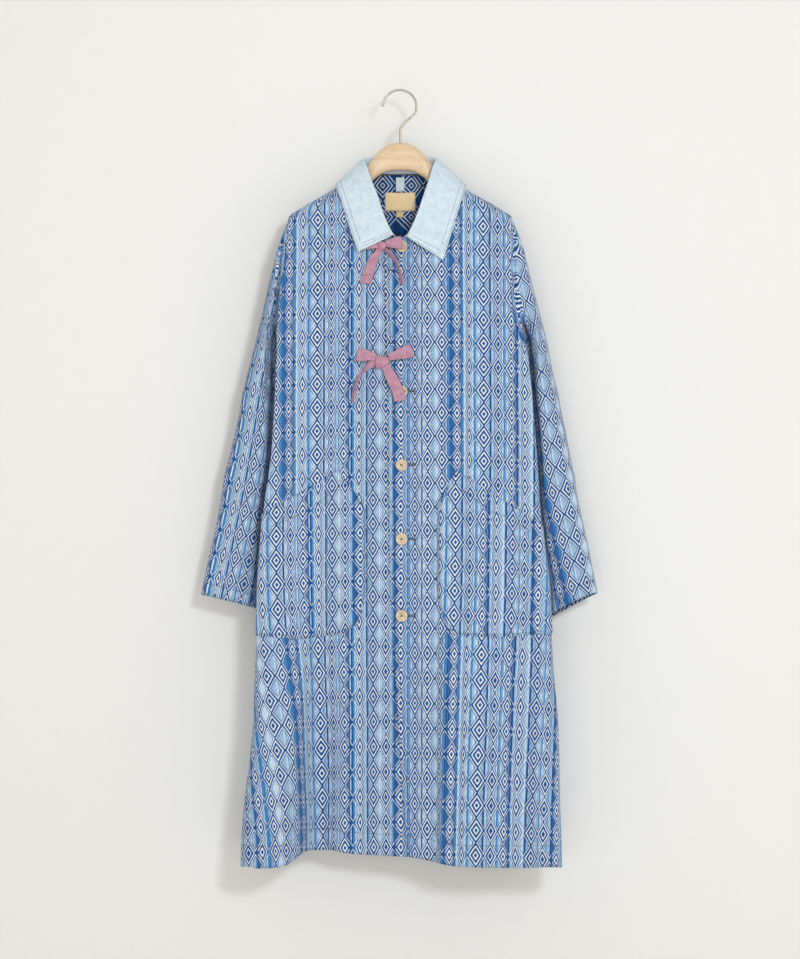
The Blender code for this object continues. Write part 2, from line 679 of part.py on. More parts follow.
def add_wall(name, outer, inner, wrap, flip, finish):
    """A closed wall between two grids of points."""
    rows, columns = outer.shape[:2]
    points = np.concatenate([outer.reshape(-1, 3), inner.reshape(-1, 3)])
    faces = grid_faces(rows, columns, wrap, 0, flip)
    faces += grid_faces(rows, columns, wrap, rows * columns, not flip)
    faces += rim_faces(rows, columns, wrap, flip)
    return add_mesh(name, points, faces, finish)


def thicken(made, thickness, offset):
    """Solidify an open sheet; offset 1 grows outwards, 0 both ways."""
    modifier = made.modifiers.new("Solidify", "SOLIDIFY")
    modifier.thickness = thickness * MM
    modifier.offset = offset
    return made


def add_patch(name, grid, flip, outline, lift, thickness, finish):
    """A piece sewn flat on a panel: the panel's own faces inside an outline, moved out."""
    work = bmesh.new()
    vertices = [work.verts.new(Vector(p) * MM) for p in grid.reshape(-1, 3)]
    for face in grid_faces(*grid.shape[:2], False, 0, flip):
        work.faces.new([vertices[i] for i in face])
    centre = np.mean(outline, axis=0)
    for a, b in zip(outline, outline[1:] + outline[:1]):
        out = np.array((b[1] - a[1], a[0] - b[0]), float)
        if np.dot(out, np.subtract(a, centre)) < 0:
            out = -out
        geometry = work.verts[:] + work.edges[:] + work.faces[:]
        bmesh.ops.bisect_plane(work, geom=geometry, clear_outer=True, dist=1e-6,
                               plane_co=(a[0] * MM, 0, a[1] * MM), plane_no=(out[0], 0, out[1]))
    loose = [v for v in work.verts if not v.link_faces]
    bmesh.ops.delete(work, geom=loose, context="VERTS")
    bmesh.ops.dissolve_degenerate(work, dist=2e-4, edges=work.edges[:])
    work.normal_update()
    for vertex in work.verts:
        vertex.co += vertex.normal * lift * MM
    mesh = bpy.data.meshes.new(name)
    work.to_mesh(mesh)
    work.free()
    mesh.materials.append(finish)
    mesh.shade_smooth()
    made = bpy.data.objects.new(name, mesh)
    parts_collection.objects.link(made)
    return thicken(made, thickness, 1)


def add_strip(name, path, width_way, width, thickness, finish):
    """A flat tape along a path; width_way gives the direction of its width at each point."""
    path = np.asarray(path, float)
    way = np.asarray(width_way, float)
    way = way / np.linalg.norm(way, axis=1, keepdims=True)
    half = np.broadcast_to(np.asarray(width, float), (len(path),))[:, None] / 2
    grid = np.stack([path - way * half, path, path + way * half], axis=1)
    grid = from_sight(grid)
    faces = grid_faces(len(path), 3, False)
    return thicken(add_mesh(name, grid.reshape(-1, 3), faces, finish), thickness, 0)


def rounded(points, count):
    """A smooth path of count points through a few given ones."""
    points = np.asarray(points, float)
    knots = np.linspace(0, 1, len(points))
    ends = np.vstack([2 * points[0] - points[1], points, 2 * points[-1] - points[-2]])
    path = []
    for t in np.linspace(0, 1, count):
        i = min(int(np.searchsorted(knots, t, side="right")) - 1, len(points) - 2)
        u = (t - knots[i]) / (knots[i + 1] - knots[i])
        a, b, c, d = ends[i:i + 4]
        path.append(0.5 * (2 * b + (c - a) * u + (2 * a - 5 * b + 4 * c - d) * u * u
                           + (3 * b - a - 3 * c + d) * u ** 3))
    return np.array(path)


def collar_station(measures, side, along, neckline):
    """Profile of the collar at one place: up the stand, over the roll, down the fall."""
    def at(name):
        return float(read(measures, name, along, key="along"))

    roll = np.array([at("roll_x"), at("roll_y"), at("roll_z")])
    edge = np.array([at("edge_x"), at("edge_y"), at("edge_z")])
    front = along < COLLAR_SHOULDER
    line = neckline["front" if front else "back"]
    seam = np.array([np.interp(at("seam"), line[:, 0], line[:, i]) for i in range(3)])
    seam += (roll - seam) / np.linalg.norm(roll - seam) * SEAM_LIFT
    down = seam - roll
    over = edge - roll
    up = -(down / np.linalg.norm(down) + over / np.linalg.norm(over))
    up /= np.linalg.norm(up)
    out = over - down * np.dot(over, down) / np.dot(down, down)
    out /= np.linalg.norm(out)
    stand_top = roll - (up + out) * ROLL_RADIUS
    fall_top = roll - (up - out) * ROLL_RADIUS
    profile = [seam, (seam + stand_top) / 2, stand_top, roll]
    for share in np.linspace(0, 1, COLLAR_FALL_ROWS):
        point = fall_top + (edge - fall_top) * share
        profile.append(point)
    profile = np.array(profile)
    profile[:, 0] *= side
    return profile


def rest_on(points, tree, clearance):
    """Move points out of a surface until they stand clear of it."""
    for i, point in enumerate(points):
        place, normal, _, _ = tree.find_nearest(Vector(point))
        short = clearance - (Vector(point) - place).dot(normal)
        if short > 0:
            points[i] = point + np.array(normal) * short


def build_collar(grids, surface, finish):
    """Collar in one piece, from the right front end round the neck to the left one."""
    halves = []
    for side, measures, panel in ((-1, COLLAR_RIGHT, "front_right"), (1, COLLAR_LEFT, "front_left")):
        front = grids[panel][-1, :len(NECK_SHARES)] * (side, 1, 1)
        back = grids["back"][-1] * (side, 1, 1)
        back = back[np.argsort(back[:, 0])]
        back = back[(back[:, 0] >= 0) & (back[:, 0] <= NECK_SIDE[0] + 0.01)]
        neckline = {"front": front, "back": back}
        halves.append([collar_station(measures, side, along, neckline)
                       for along in np.linspace(0, 1, COLLAR_STATIONS)])
    grid = from_sight(np.array(halves[0] + halves[1][-2::-1]))
    for row in range(-COLLAR_FALL_ROWS + 1, 0):
        points = grid[:, row].copy()
        rest_on(points, surface, COLLAR_CLOTH / 2 + COLLAR_EASE)
        grid[:, row] = points
    faces = grid_faces(*grid.shape[:2], False)
    thicken(add_mesh("collar", grid.reshape(-1, 3), faces, finish), COLLAR_CLOTH, 0)


def outer_surface(pieces, names):
    """Search tree over the outer faces of some pieces."""
    points = []
    faces = []
    for name in names:
        grid, wrap, flip = pieces[name]
        faces += grid_faces(*grid.shape[:2], wrap, len(points), flip)
        points += [Vector(p) for p in grid.reshape(-1, 3)]
    return BVHTree.FromPolygons(points, faces)


def build_body(cloth):
    """Fronts, back, sleeves and hip pockets; gives back the grids, the walls and the outer face."""
    grids = {"front_right": front_grid(-1), "front_left": front_grid(1)}
    grids["back"] = back_grid(grids["front_right"], grids["front_left"])
    grids["sleeve_right"] = sleeve_grid(
        SLEEVE_RIGHT, -1, grids["front_right"][:, -1], grids["back"][:, 0], 0)
    grids["sleeve_left"] = sleeve_grid(
        SLEEVE_LEFT, 1, grids["front_left"][:, -1], grids["back"][:, -1], LEFT_CUFF_DROP)
    flips = {"front_right": True, "front_left": False, "back": True,
             "sleeve_right": True, "sleeve_left": False}
    pieces = {name: (from_sight(grid), name.startswith("sleeve"), flips[name])
              for name, grid in grids.items()}
    surface = outer_surface(pieces, ("front_right", "front_left", "back"))
    for name in ("sleeve_right", "sleeve_left"):
        grid = pieces[name][0]
        for ring, along in zip(grid[::-1][1:], SLEEVE_RINGS):
            if along >= SLEEVE_FREE:
                rest_on(ring, surface, SLEEVE_EASE)
    walls = cloth_walls(pieces)
    for name, (outer, inner) in walls.items():
        add_wall(name, outer, inner, pieces[name][1], pieces[name][2], cloth)
    for name, outline, panel in (("pocket_right", POCKET_RIGHT, "front_right"),
                                 ("pocket_left", POCKET_LEFT, "front_left")):
        real = [tuple(from_sight((x, -front_depth(x, z), z))[[0, 2]]) for x, z in outline]
        add_patch(name, walls[panel][0], flips[panel], real, POCKET_LIFT, POCKET_CLOTH, cloth)
    return grids, walls, surface


def surface_at(name, x, z):
    """Depth of an object's nearest face to the viewer at a real place, in millimetres."""
    made = bpy.data.objects[name]
    hit, place, _, _ = made.ray_cast(Vector((x, VIEW_START, z)) * MM, Vector((0, 1, 0)))
    return place.y / MM if hit else 0


def build_buttons(finish):
    """Turned buttons with a raised rim, resting on the upper front."""
    profile = [(radius * BUTTON_RADIUS * MM, 0, height * BUTTON_THICK * MM)
               for radius, height in BUTTON_PROFILE]
    angles = np.linspace(0, 2 * math.pi, 9)
    spots = [(0, 0)]
    spots += [(BUTTON_RADIUS * math.cos(a), BUTTON_RADIUS * math.sin(a)) for a in angles]
    for number, level in enumerate(BUTTON_LEVELS, start=1):
        x, _, z = from_sight((BUTTON_X, BUTTON_DEPTH, level))
        rest = min(surface_at("front_left", x + dx, z + dz) for dx, dz in spots)
        mesh = bpy.data.meshes.new(f"button_{number}")
        mesh.from_pydata(profile, [], [(i, i + 1) for i in range(len(profile) - 1)])
        made = bpy.data.objects.new(f"button_{number}", mesh)
        mesh.materials.append(finish)
        parts_collection.objects.link(made)
        turned = made.modifiers.new("Screw", "SCREW")
        turned.steps = turned.render_steps = BUTTON_STEPS
        turned.use_merge_vertices = True
        turned.merge_threshold = 0.00001
        turned.use_normal_flip = True
        made.rotation_euler = (math.pi / 2, 0, 0)
        made.location = Vector((x, rest - BUTTON_SEAT, z)) * MM


def wrap_loop(root, tip, gap, count):
    """Path of a bow's loop: out along the back, round the end and home along the front."""
    root = np.asarray(root, float)
    tip = np.asarray(tip, float)
    path = []
    for t in np.linspace(0, 1, count):
        turn = math.pi * t
        out = math.sin(turn) ** LOOP_ROUND
        point = root + (tip - root) * out
        point[1] += gap * math.cos(turn) * (LOOP_CLOSE + (1 - LOOP_CLOSE) * out)
        path.append(point)
    return np.array(path)


def build_bow(name, bow, finish):
    """Tape bow: a knot with two loops and two tails around it."""
    build_knot(f"{name}_knot", bow["knot"], bow["knot_size"], finish)
    for part, loop in bow["loops"].items():
        path = wrap_loop(loop["root"], loop["tip"], loop["gap"], LOOP_POINTS)
        out = np.sin(np.pi * np.linspace(0, 1, LOOP_POINTS)) ** LOOP_ROUND
        width = loop["pinch"] + (LOOP_WIDTH - loop["pinch"]) * ease(out * LOOP_FLARE)
        way = np.outer(np.ones(LOOP_POINTS), loop["way"])
        add_strip(f"{name}_loop_{part}", path, way, width, TAPE_CLOTH, finish)
    for part, tail in bow["tails"].items():
        path = rounded(tail["path"], TAIL_POINTS)
        way = rounded(tail["ways"], TAIL_POINTS)
        flare = ease(np.linspace(0, TAIL_FLARE, TAIL_POINTS))
        width = tail["pinch"] + (TAPE_WIDTH - tail["pinch"]) * flare
        add_strip(f"{name}_tail_{part}", path, way, width, TAPE_CLOTH, finish)


def build_knot(name, centre, size, finish):
    """Soft block for the wrapped tape of a knot."""
    x, y, z = from_sight(centre)
    bpy.ops.mesh.primitive_cube_add(size=1, location=Vector((x, y, z)) * MM)
    made = bpy.context.active_object
    made.name = made.data.name = name
    made.data.transform(Matrix.Diagonal((*(Vector(size) * MM), 1)))
    rounding = made.modifiers.new("Bevel", "BEVEL")
    rounding.width = min(size) * KNOT_ROUNDING * MM
    rounding.segments = 2
    made.data.materials.append(finish)
    for collection in made.users_collection:
        collection.objects.unlink(made)
    parts_collection.objects.link(made)


def build_neck(walls, tape, satin, pale_satin):
    """Hanging loop, label and size tab on the inside of the back neck."""
    inner = walls["back"][1]
    for name, box, thickness, finish in (("neck_label", LABEL_BOX, LABEL_CLOTH, satin),
                                         ("size_tab", TAB_BOX, TAB_CLOTH, pale_satin)):
        left, right, low, high = box
        outline = [tuple(from_sight((x, NECK_BACK_DEPTH, z))[[0, 2]])
                   for x, z in ((left, low), (right, low), (right, high), (left, high))]
        add_patch(name, inner, False, outline, LABEL_LIFT, thickness, finish)
    depth = NECK_BACK_DEPTH - CLOTH - HANGING_LOOP["lift"]
    path = [(HANGING_LOOP["x"], depth + y, z) for y, z in HANGING_LOOP_PATH]
    add_strip("hanging_loop", path, [(1, 0, 0)] * len(path), HANGING_LOOP["width"],
              HANGING_LOOP["cloth"], tape)


def build_hanger(wood, steel):
    """Shaped wooden body with a bore for the hook's shank, and the bent wire hook."""
    stations = [-out for out in WOOD_STATIONS[:0:-1]] + list(WOOD_STATIONS)
    rings = []
    for x in stations:
        out = abs(x)
        top, height, half = (float(read(WOOD, c, out, key="out")) for c in ("top", "height", "half"))
        ring = []
        for i in range(WOOD_SIDES):
            a = 2 * math.pi * i / WOOD_SIDES
            across = math.copysign(abs(math.cos(a)) ** WOOD_CORNER, math.cos(a))
            up = math.copysign(abs(math.sin(a)) ** WOOD_CORNER, math.sin(a))
            ring.append((x, half * across, top + height / 2 * (up - 1)))
        rings.append(ring)
    grid = np.array(rings)
    faces = grid_faces(len(stations), WOOD_SIDES, True)
    faces.append(tuple(range(WOOD_SIDES))[::-1])
    faces.append(tuple((len(stations) - 1) * WOOD_SIDES + i for i in range(WOOD_SIDES)))
    body = add_mesh("hanger", grid.reshape(-1, 3), faces, wood)
    bpy.ops.mesh.primitive_cylinder_add(
        vertices=12, radius=(WIRE / 2 + SHANK_GAP) * MM, depth=2 * SHANK_SEAT * MM,
        location=(SHANK_X * MM, 0, WOOD["top"][0] * MM))
    cutter = bpy.context.active_object
    cutter.name = "shank_bore"
    cutter.hide_render = True
    cutter.display_type = "WIRE"
    for collection in cutter.users_collection:
        collection.objects.unlink(cutter)
    cutter_collection.objects.link(cutter)
    bore = body.modifiers.new("Bore", "BOOLEAN")
    bore.operation = "DIFFERENCE"
    bore.object = cutter

    cx, cz = HOOK_CENTRE
    arc = [(cx + HOOK_RADIUS * math.cos(a), 0, cz + HOOK_RADIUS * math.sin(a))
           for a in np.radians(np.linspace(HOOK_START, 0, HOOK_ARC_POINTS))]
    seat = WOOD["top"][0] - SHANK_SEAT + SHANK_GAP
    bend = rounded([arc[-1]] + [(x, 0, z) for x, z in HOOK_BEND], HOOK_BEND_POINTS)
    route = arc + [tuple(p) for p in bend[1:]] + [(SHANK_X, 0, seat)]
    curve = bpy.data.curves.new("hook", "CURVE")
    curve.dimensions = "3D"
    curve.bevel_depth = WIRE / 2 * MM
    curve.bevel_resolution = 2
    curve.use_fill_caps = True
    spline = curve.splines.new("POLY")
    spline.points.add(len(route) - 1)
    for point, place in zip(spline.points, route):
        point.co = (*(Vector(place) * MM), 1)
    curve.materials.append(steel)
    parts_collection.objects.link(bpy.data.objects.new("hook", curve))


for old in list(bpy.data.objects):
    bpy.data.objects.remove(old, do_unlink=True)
parts_collection = bpy.data.collections.new("farmer_coat")
cutter_collection = bpy.data.collections.new("cutters")
bpy.context.scene.collection.children.link(parts_collection)
bpy.context.scene.collection.children.link(cutter_collection)

coat_cloth = material("coat_cloth", (0.30, 0.45, 0.68), 0.9)
chambray = material("chambray", (0.66, 0.78, 0.86), 0.85)
mauve_tape = material("mauve_tape", (0.55, 0.30, 0.38), 0.85)
horn = material("horn", (0.66, 0.56, 0.42), 0.4)
beech = material("beech", (0.80, 0.62, 0.43), 0.5)
steel = material("steel", (0.62, 0.58, 0.52), 0.3, 1.0)
gold_satin = material("gold_satin", (0.66, 0.48, 0.24), 0.5)
pale_satin = material("pale_satin", (0.85, 0.66, 0.40), 0.6)

coat_grids, coat_walls, coat_surface = build_body(coat_cloth)
build_collar(coat_grids, coat_surface, chambray)
build_buttons(horn)
build_bow("upper_bow", UPPER_BOW, mauve_tape)
build_bow("lower_bow", LOWER_BOW, mauve_tape)
build_neck(coat_walls, chambray, gold_satin, pale_satin)
build_hanger(beech, steel)
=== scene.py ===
"""Looks of the farmer coat: its figured cloth, seams, stitching, tapes, buttons and hanger.

Lengths in the tables are millimetres and MM turns them into metres. X runs to the
viewer's right, Y away from the viewer and Z up, from the inner top of the hook.
Widths and levels are those seen from the front in the plane of the hanger, and
from_sight brings a point that lies nearer to the viewer in along its sight line.
"""

import math

import bmesh
import bpy
import numpy as np
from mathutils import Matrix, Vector
from mathutils.bvhtree import BVHTree


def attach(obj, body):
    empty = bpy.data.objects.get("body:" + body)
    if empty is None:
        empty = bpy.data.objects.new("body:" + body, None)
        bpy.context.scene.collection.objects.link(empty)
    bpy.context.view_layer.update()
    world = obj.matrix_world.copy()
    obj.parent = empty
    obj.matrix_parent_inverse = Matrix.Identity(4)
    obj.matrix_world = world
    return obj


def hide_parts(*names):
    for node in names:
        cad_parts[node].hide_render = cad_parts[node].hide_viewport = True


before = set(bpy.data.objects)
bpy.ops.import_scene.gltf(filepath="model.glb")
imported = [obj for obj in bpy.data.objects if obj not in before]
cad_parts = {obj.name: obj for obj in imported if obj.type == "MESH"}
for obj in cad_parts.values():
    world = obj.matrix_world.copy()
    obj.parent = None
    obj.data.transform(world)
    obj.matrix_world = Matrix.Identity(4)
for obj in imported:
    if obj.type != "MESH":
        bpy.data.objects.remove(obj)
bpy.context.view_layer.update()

MM = 0.001
BODY_NAME = "root"
BODY_PANELS = ("front_right", "front_left", "back")

# Viewer's eye for the sizes that are measured from the front
EYE_DISTANCE = 3250
EYE_LEVEL = -602

# Cloth
CLOTH = 1.8
HEM_EXTRA = 0.9        # a turned hem is this much thicker
HEM_HEIGHT = 36
SEAM_SINK = 1.1        # a seam line lies this deep between its two pieces
SEAM_SHARES = (1.0, 0.45, 0.1)  # of that depth, on the seam line and on the lines beside it
LAP_RISE = 3.2         # the upper front stands this far off the lower one
LAP_END = 48           # and falls back to the common depth from here
LAP_FADE = 30
POCKET_LIFT = 0.5
POCKET_CLOTH = 1.5
POCKET_RIM = 0.55      # share of that at its turned edge
COLLAR_CLOTH = 2.4
TAPE_CLOTH = 1.2
TAPE_WIDTH = 18

# Levels and points of the pattern
UNDERARM_LEVEL = -411
NECK_FRONT_LEVEL = -228
NECK_FRONT_DEPTH = -28
NECK_SIDE = (60, -122)       # where shoulder seam and neckline meet
NECK_BACK_LEVEL = -131
NECK_BACK_DEPTH = 27
NECK_BACK_BEND = 5           # the higher, the flatter the back neck and the tighter its ends
SHOULDER_ROLL = 26           # the front turns over the shoulder in this height

HEM_LEVEL = -1190
BACK_HEM_RISE = 22           # seen from the front, for what hangs level at the back
SHOULDER_END = 7             # width of the roll's columns where they reach the shoulder
ARM_NARROWING = 0.35         # the back rises to its full depth in this much less width at the arm


def table(columns, *rows):
    """A short table of measures as named columns."""
    values = np.array(rows, float)
    return {name: values[:, i] for i, name in enumerate(columns.split())}


def denser(values, times):
    """The same run of values in steps that are this many times as fine."""
    last = len(values) - 1
    return np.interp(np.arange(last * times + 1) / times, np.arange(last + 1), values)


# Rows and columns of the panels: as the solids have them, and as the cloth is drawn
ARM_ROWS = (0.0, 0.05, 0.13, 0.26, 0.43, 0.61, 0.77, 0.885, 0.955, 0.989, 1.0)
NECK_SHARES = (0, 0.2, 0.39, 0.57, 0.74, 0.88, 0.96, 1)
BACK_NECK = (-1, -0.955, -0.88, -0.74, -0.45, -0.15, 0.15, 0.45, 0.74, 0.88, 0.955, 1)
LOWER_ROWS = 14
COARSE = {"lower": LOWER_ROWS, "arm": np.array(ARM_ROWS), "neck": np.array(NECK_SHARES),
          "back_neck": np.array(BACK_NECK), "side": 7, "roll": np.array((30, 60, 90))}
FINE = {"lower": 126, "arm": denser(ARM_ROWS, 5), "neck": denser(NECK_SHARES, 5),
        "back_neck": denser(BACK_NECK, 4), "side": 42, "roll": np.arange(10, 91, 10)}
SLEEVE_TIMES = (6, 6)  # how much finer a sleeve is drawn along and around

# Body outline and depths, from the hem up; depths are measured from the hanger's plane
BODY = table(
    "level right left roll front back tuck spread",
    (-1204, 248, 252, 24, 58, 62, 4, 50),
    (-1161, 247, 251, 24, 57, 62, 4, 50),
    (-1100, 242, 249, 23, 56, 62, 4, 50),
    (-1037, 234, 248, 22, 56, 61, 4, 55),
    (-975, 228, 246, 20, 55, 60, 6, 60),
    (-913, 226, 240, 17, 54, 58, 10, 75),
    (-850, 223, 236, 13, 53, 56, 14, 95),
    (-761, 220, 231, 10, 52, 54, 15, 95),
    (-700, 216, 223, 9, 51, 53, 15, 95),
    (-646, 212, 218, 8, 50, 52, 15, 95),
    (-569, 201, 213, 7, 47, 50, 15, 95),
    (-479, 195, 206, 6, 44, 46, 15, 95),
    (-411, 192, 199, 4, 41, 44, 14, 90),
)

# Armhole seam from the underarm to the shoulder: its place and turn on the front, and
# its depth on the back
ARMHOLE = table(
    "level right left turn back_depth",
    (-411, 192, 199, 90, -37),
    (-398, 191.5, 195.5, 78, -26),
    (-380, 191, 186, 62, -8),
    (-352, 189, 177, 45, 12),
    (-304, 185, 172, 32, 29),
    (-256, 180, 171, 26, 29),
    (-215, 174, 171, 20, 18),
    (-191, 169, 171, 0, 0),
)

# Depths of the front and the back above the underarm
CHEST = table(
    "level front back",
    (-411, 41, 44), (-350, 38, 42), (-300, 34, 38), (-250, 29, 33), (-200, 25, 28), (-120, 24, 27),
)

# Front neckline from the centre to the shoulder seam
NECK = table(
    "out level",
    (0, -228), (8, -226), (20, -212), (31, -192), (41, -170), (50, -150), (56, -134), (60, -122),
)

# Shoulder seam from neck to sleeve
SHOULDER = table(
    "out level",
    (60, -122), (75, -133), (100, -149.5), (121, -162), (144, -175), (160, -185), (172, -193),
)

# Level of the front hem across the coat
HEM = table(
    "across level",
    (-250, -1202), (-225, -1205), (-192, -1204), (-175, -1199), (-162, -1190), (-150, -1180),
    (-138, -1176), (-110, -1176), (-85, -1181), (-30, -1185), (10, -1187), (42, -1192),
    (60, -1197), (92, -1202), (155, -1204), (252, -1203),
)

# Edge of the upper front along the buttons, and the lower front's hidden edge
FRONT_EDGE = table(
    "level upper lower",
    (-1190, 11, 46), (-1116, 6, 42), (-1065, 2, 38), (-1000, -2, 34), (-936, -6, 31),
    (-871, -11, 28), (-800, -14, 26), (-634, -18, 23), (-496, -19, 22), (-378, -22, 22),
    (-308, -24, 20), (-236, -24, 20),
)

# Soft vertical folds of the front: where they run, how wide, and how deep at the hem
FOLD_COLUMNS = "at_hem at_top top width depth"
FOLDS = table(
    FOLD_COLUMNS,
    (-208, -190, -640, 30, 24),
    (-130, -118, -640, 17, -34),
    (-88, -80, -600, 52, -34),
    (12, 8, -560, 48, -14),
    (138, 120, -640, 36, 10),
    (190, 168, -700, 18, -9),
    (222, 205, -700, 16, 8),
)
CREASE = {"at": 58, "top": -480, "half": 9, "step": 17}

# Soft vertical folds of the back, deep towards the front
BACK_FOLDS = table(
    FOLD_COLUMNS,
    (-150, -90, -500, 26, -16),
    (-40, -30, -420, 30, 6),
    (70, 50, -450, 24, -14),
    (165, 120, -600, 22, -10),
)

# Sleeves: the outer line is the outline from the front, the inner line runs
# from the underarm behind the body's edge to the cuff; lean flattens the inner part of the front
SLEEVE_COLUMNS = "along out_x out_z out_y in_x in_z in_y depth lean arch"
SLEEVE_RIGHT = table(
    SLEEVE_COLUMNS,
    (0.00, 169, -191, 0, 192, -411, -37, 33, 0.0, 0),
    (0.12, 184, -226, 2, 196, -413, -30, 33, 0.0, 0),
    (0.24, 200, -288, 5, 200, -417, -11, 33, 0.03, 0),
    (0.35, 212, -338, 7, 199, -430, -5, 33.5, 0.1, 0),
    (0.45, 224, -386, 8, 197, -443, 9, 32, 0.0, 0),
    (0.55, 238, -448, 9, 191.5, -477.5, 14, 33.5, 0.5, 0),
    (0.66, 254, -523, 9, 174, -517, 22.5, 32, 0.5, 0),
    (0.78, 274, -612, 9, 158, -640, 29, 27, 0.1, 0),
    (0.89, 291, -700, 9, 157, -735, 35, 24, 0.0, 0),
    (1.00, 308, -781, 9, 166, -819, 38, 20, 0.0, 2),
)
SLEEVE_LEFT = table(
    SLEEVE_COLUMNS,
    (0.00, 171, -191, 0, 199, -411, -37, 33, 0.0, 0),
    (0.12, 186, -226, 2, 203, -413, -30.5, 34.5, 0.0, 0),
    (0.24, 202, -286, 5, 205.5, -420, -17, 30.5, 0.3, 0),
    (0.35, 215, -338, 7, 206.5, -430.5, -6, 34.5, 0.0, 0),
    (0.45, 227, -386, 8, 203, -441, 0, 32.5, 0.0, 0),
    (0.55, 240, -448, 9, 197.5, -481, 12, 34.5, 0.5, 0),
    (0.66, 255, -523, 9, 184.5, -530.5, 17.5, 32.5, 0.3, 0),
    (0.78, 273, -615, 9, 168, -640, 29, 27, 0.1, 0),
    (0.89, 290, -700, 9, 168, -745, 35, 24, 0.0, 3),
    (1.00, 307, -778, 9, 178, -848, 38, 20, 0.0, 8),
)
SLEEVE_EASE = 3        # between a sleeve and the body
SLEEVE_RINGS = (
    0.04, 0.08, 0.13, 0.18, 0.24, 0.30, 0.37, 0.45, 0.53, 0.61, 0.70, 0.79, 0.87, 0.94, 1.0,
)
SLEEVE_HEAD = 0.35     # the sleeve takes its own shape by here
SLEEVE_FREE = 0.50     # and is kept clear of the body from here
UNDERARM_END = 0.50    # the cloth is evened out at the underarm as far down as this
UNDERARM_FADE = 0.20
UNDERARM_REACH = 0.80
UNDERARM_STEPS = 100
ROUND_SHARE = 0.6      # how much of it goes around the sleeve rather than along
LEAN_FROM = 0.1        # share of the width, from -1 at the inner line, up to which the lean reaches

# Collar: roll line and outer edge from the front end round to the back of the neck;
# seam is how far along the neckline, from the centre front, the stand is sewn
COLLAR_COLUMNS = "along seam roll_x roll_z roll_y edge_x edge_z edge_y"
COLLAR_RIGHT = table(
    COLLAR_COLUMNS,
    (0.00, 6, 12, -223, -42, 65, -249, -41),
    (0.14, 19, 22, -204, -41, 76, -219, -36),
    (0.28, 31, 30.5, -181, -40, 84, -193, -29),
    (0.42, 41, 38, -158, -38, 91, -171, -27),
    (0.54, 50, 46, -138, -32, 97, -154, -20),
    (0.64, 56, 54, -114, -18, 99, -147, -9),
    (0.72, 60, 57.5, -106, 0, 98, -146, 3),
    (0.80, 57, 54, -105, 15, 90, -153, 25),
    (0.90, 32, 34, -103, 28, 58, -166, 42),
    (1.00, 0, 0, -103, 31, 0, -172, 47),
)
COLLAR_LEFT = table(
    COLLAR_COLUMNS,
    (0.00, 6, 12.5, -226, -44, 67, -262, -36),
    (0.14, 19, 21, -208, -42, 78, -226, -33),
    (0.28, 31, 30.5, -184, -41, 87, -196, -29),
    (0.42, 41, 38.5, -160, -38, 95, -170, -27),
    (0.54, 50, 46, -138.5, -32, 101, -153, -20),
    (0.64, 56, 54, -114, -18, 102, -148, -9),
    (0.72, 60, 57.5, -106, 0, 101, -147, 3),
    (0.80, 57, 54, -105, 15, 92, -153, 25),
    (0.90, 32, 34, -103, 28, 58, -166, 42),
    (1.00, 0, 0, -103, 31, 0, -172, 47),
)
COLLAR_STATIONS = 17
COLLAR_FALL_ROWS = 5
COLLAR_EASE = 2.4      # between the collar's underside and the coat
SEAM_LIFT = 2.2        # the stand starts this far up from the neckline
ROLL_RADIUS = 2.8
COLLAR_SHOULDER = 0.74 # the seam is on the front as far as here, then on the back

# Hip pockets: corners seen from the front, from the top inner corner round to the side
POCKET_RIGHT = ((-97, -588), (-82, -605), (-53, -647), (-52, -773), (-59, -804), (-68, -828),
                (-94, -842), (-155, -849.5), (-230, -843), (-230, -665))
POCKET_LEFT = ((88, -588), (75, -607), (58, -645), (58, -773), (64, -804), (72, -829),
               (86, -843), (155, -846), (250, -840), (250, -692))

# Left cuff: the back of the cuff hangs this much lower than its front
LEFT_CUFF_DROP = 6

# Tape bows, each point as across, depth and level
LOOP_POINTS = 13
TAIL_POINTS = 9
LOOP_WIDTH = 19.5      # a loop's fold lies at a slant across the tape
LOOP_ROUND = 0.75      # the lower, the rounder a loop's end
LOOP_CLOSE = 0.45      # a loop's two sides near this part of their gap at the knot
LOOP_FLARE = 1.3       # how soon a loop comes to its full width
TAIL_FLARE = 3
UPPER_BOW = {
    "knot": (-27, -38.5, -240), "knot_size": (13, 9, 13),
    "loops": {
        "left": {"root": (-19.5, -41, -237), "tip": (2.5, -44, -234.5), "gap": 3.2, "pinch": 9,
                 "way": (-0.2, 0, 1)},
        "right": {"root": (-34.5, -36.7, -239), "tip": (-70, -33.9, -235), "gap": 2.4, "pinch": 9,
                  "way": (-0.1, 0, 1)},
    },
    "tails": {
        "right": {"path": ((-33, -38.5, -247.7), (-40, -38, -259), (-47, -37, -277), (-54, -38, -298)),
                  "ways": ((1, 0, 0.1), (1, 0, 0.25), (1, 0, 0.25), (1, 0, -0.1)), "pinch": 11},
        "left": {"path": ((-21, -39, -248.5), (-11, -42.5, -257), (-3, -44.5, -272), (4, -48, -299)),
                 "ways": ((0.5, -1, 0.1), (0.3, -1, 0.1), (0.25, -1, 0), (0.25, -1, 0)), "pinch": 11},
    },
}
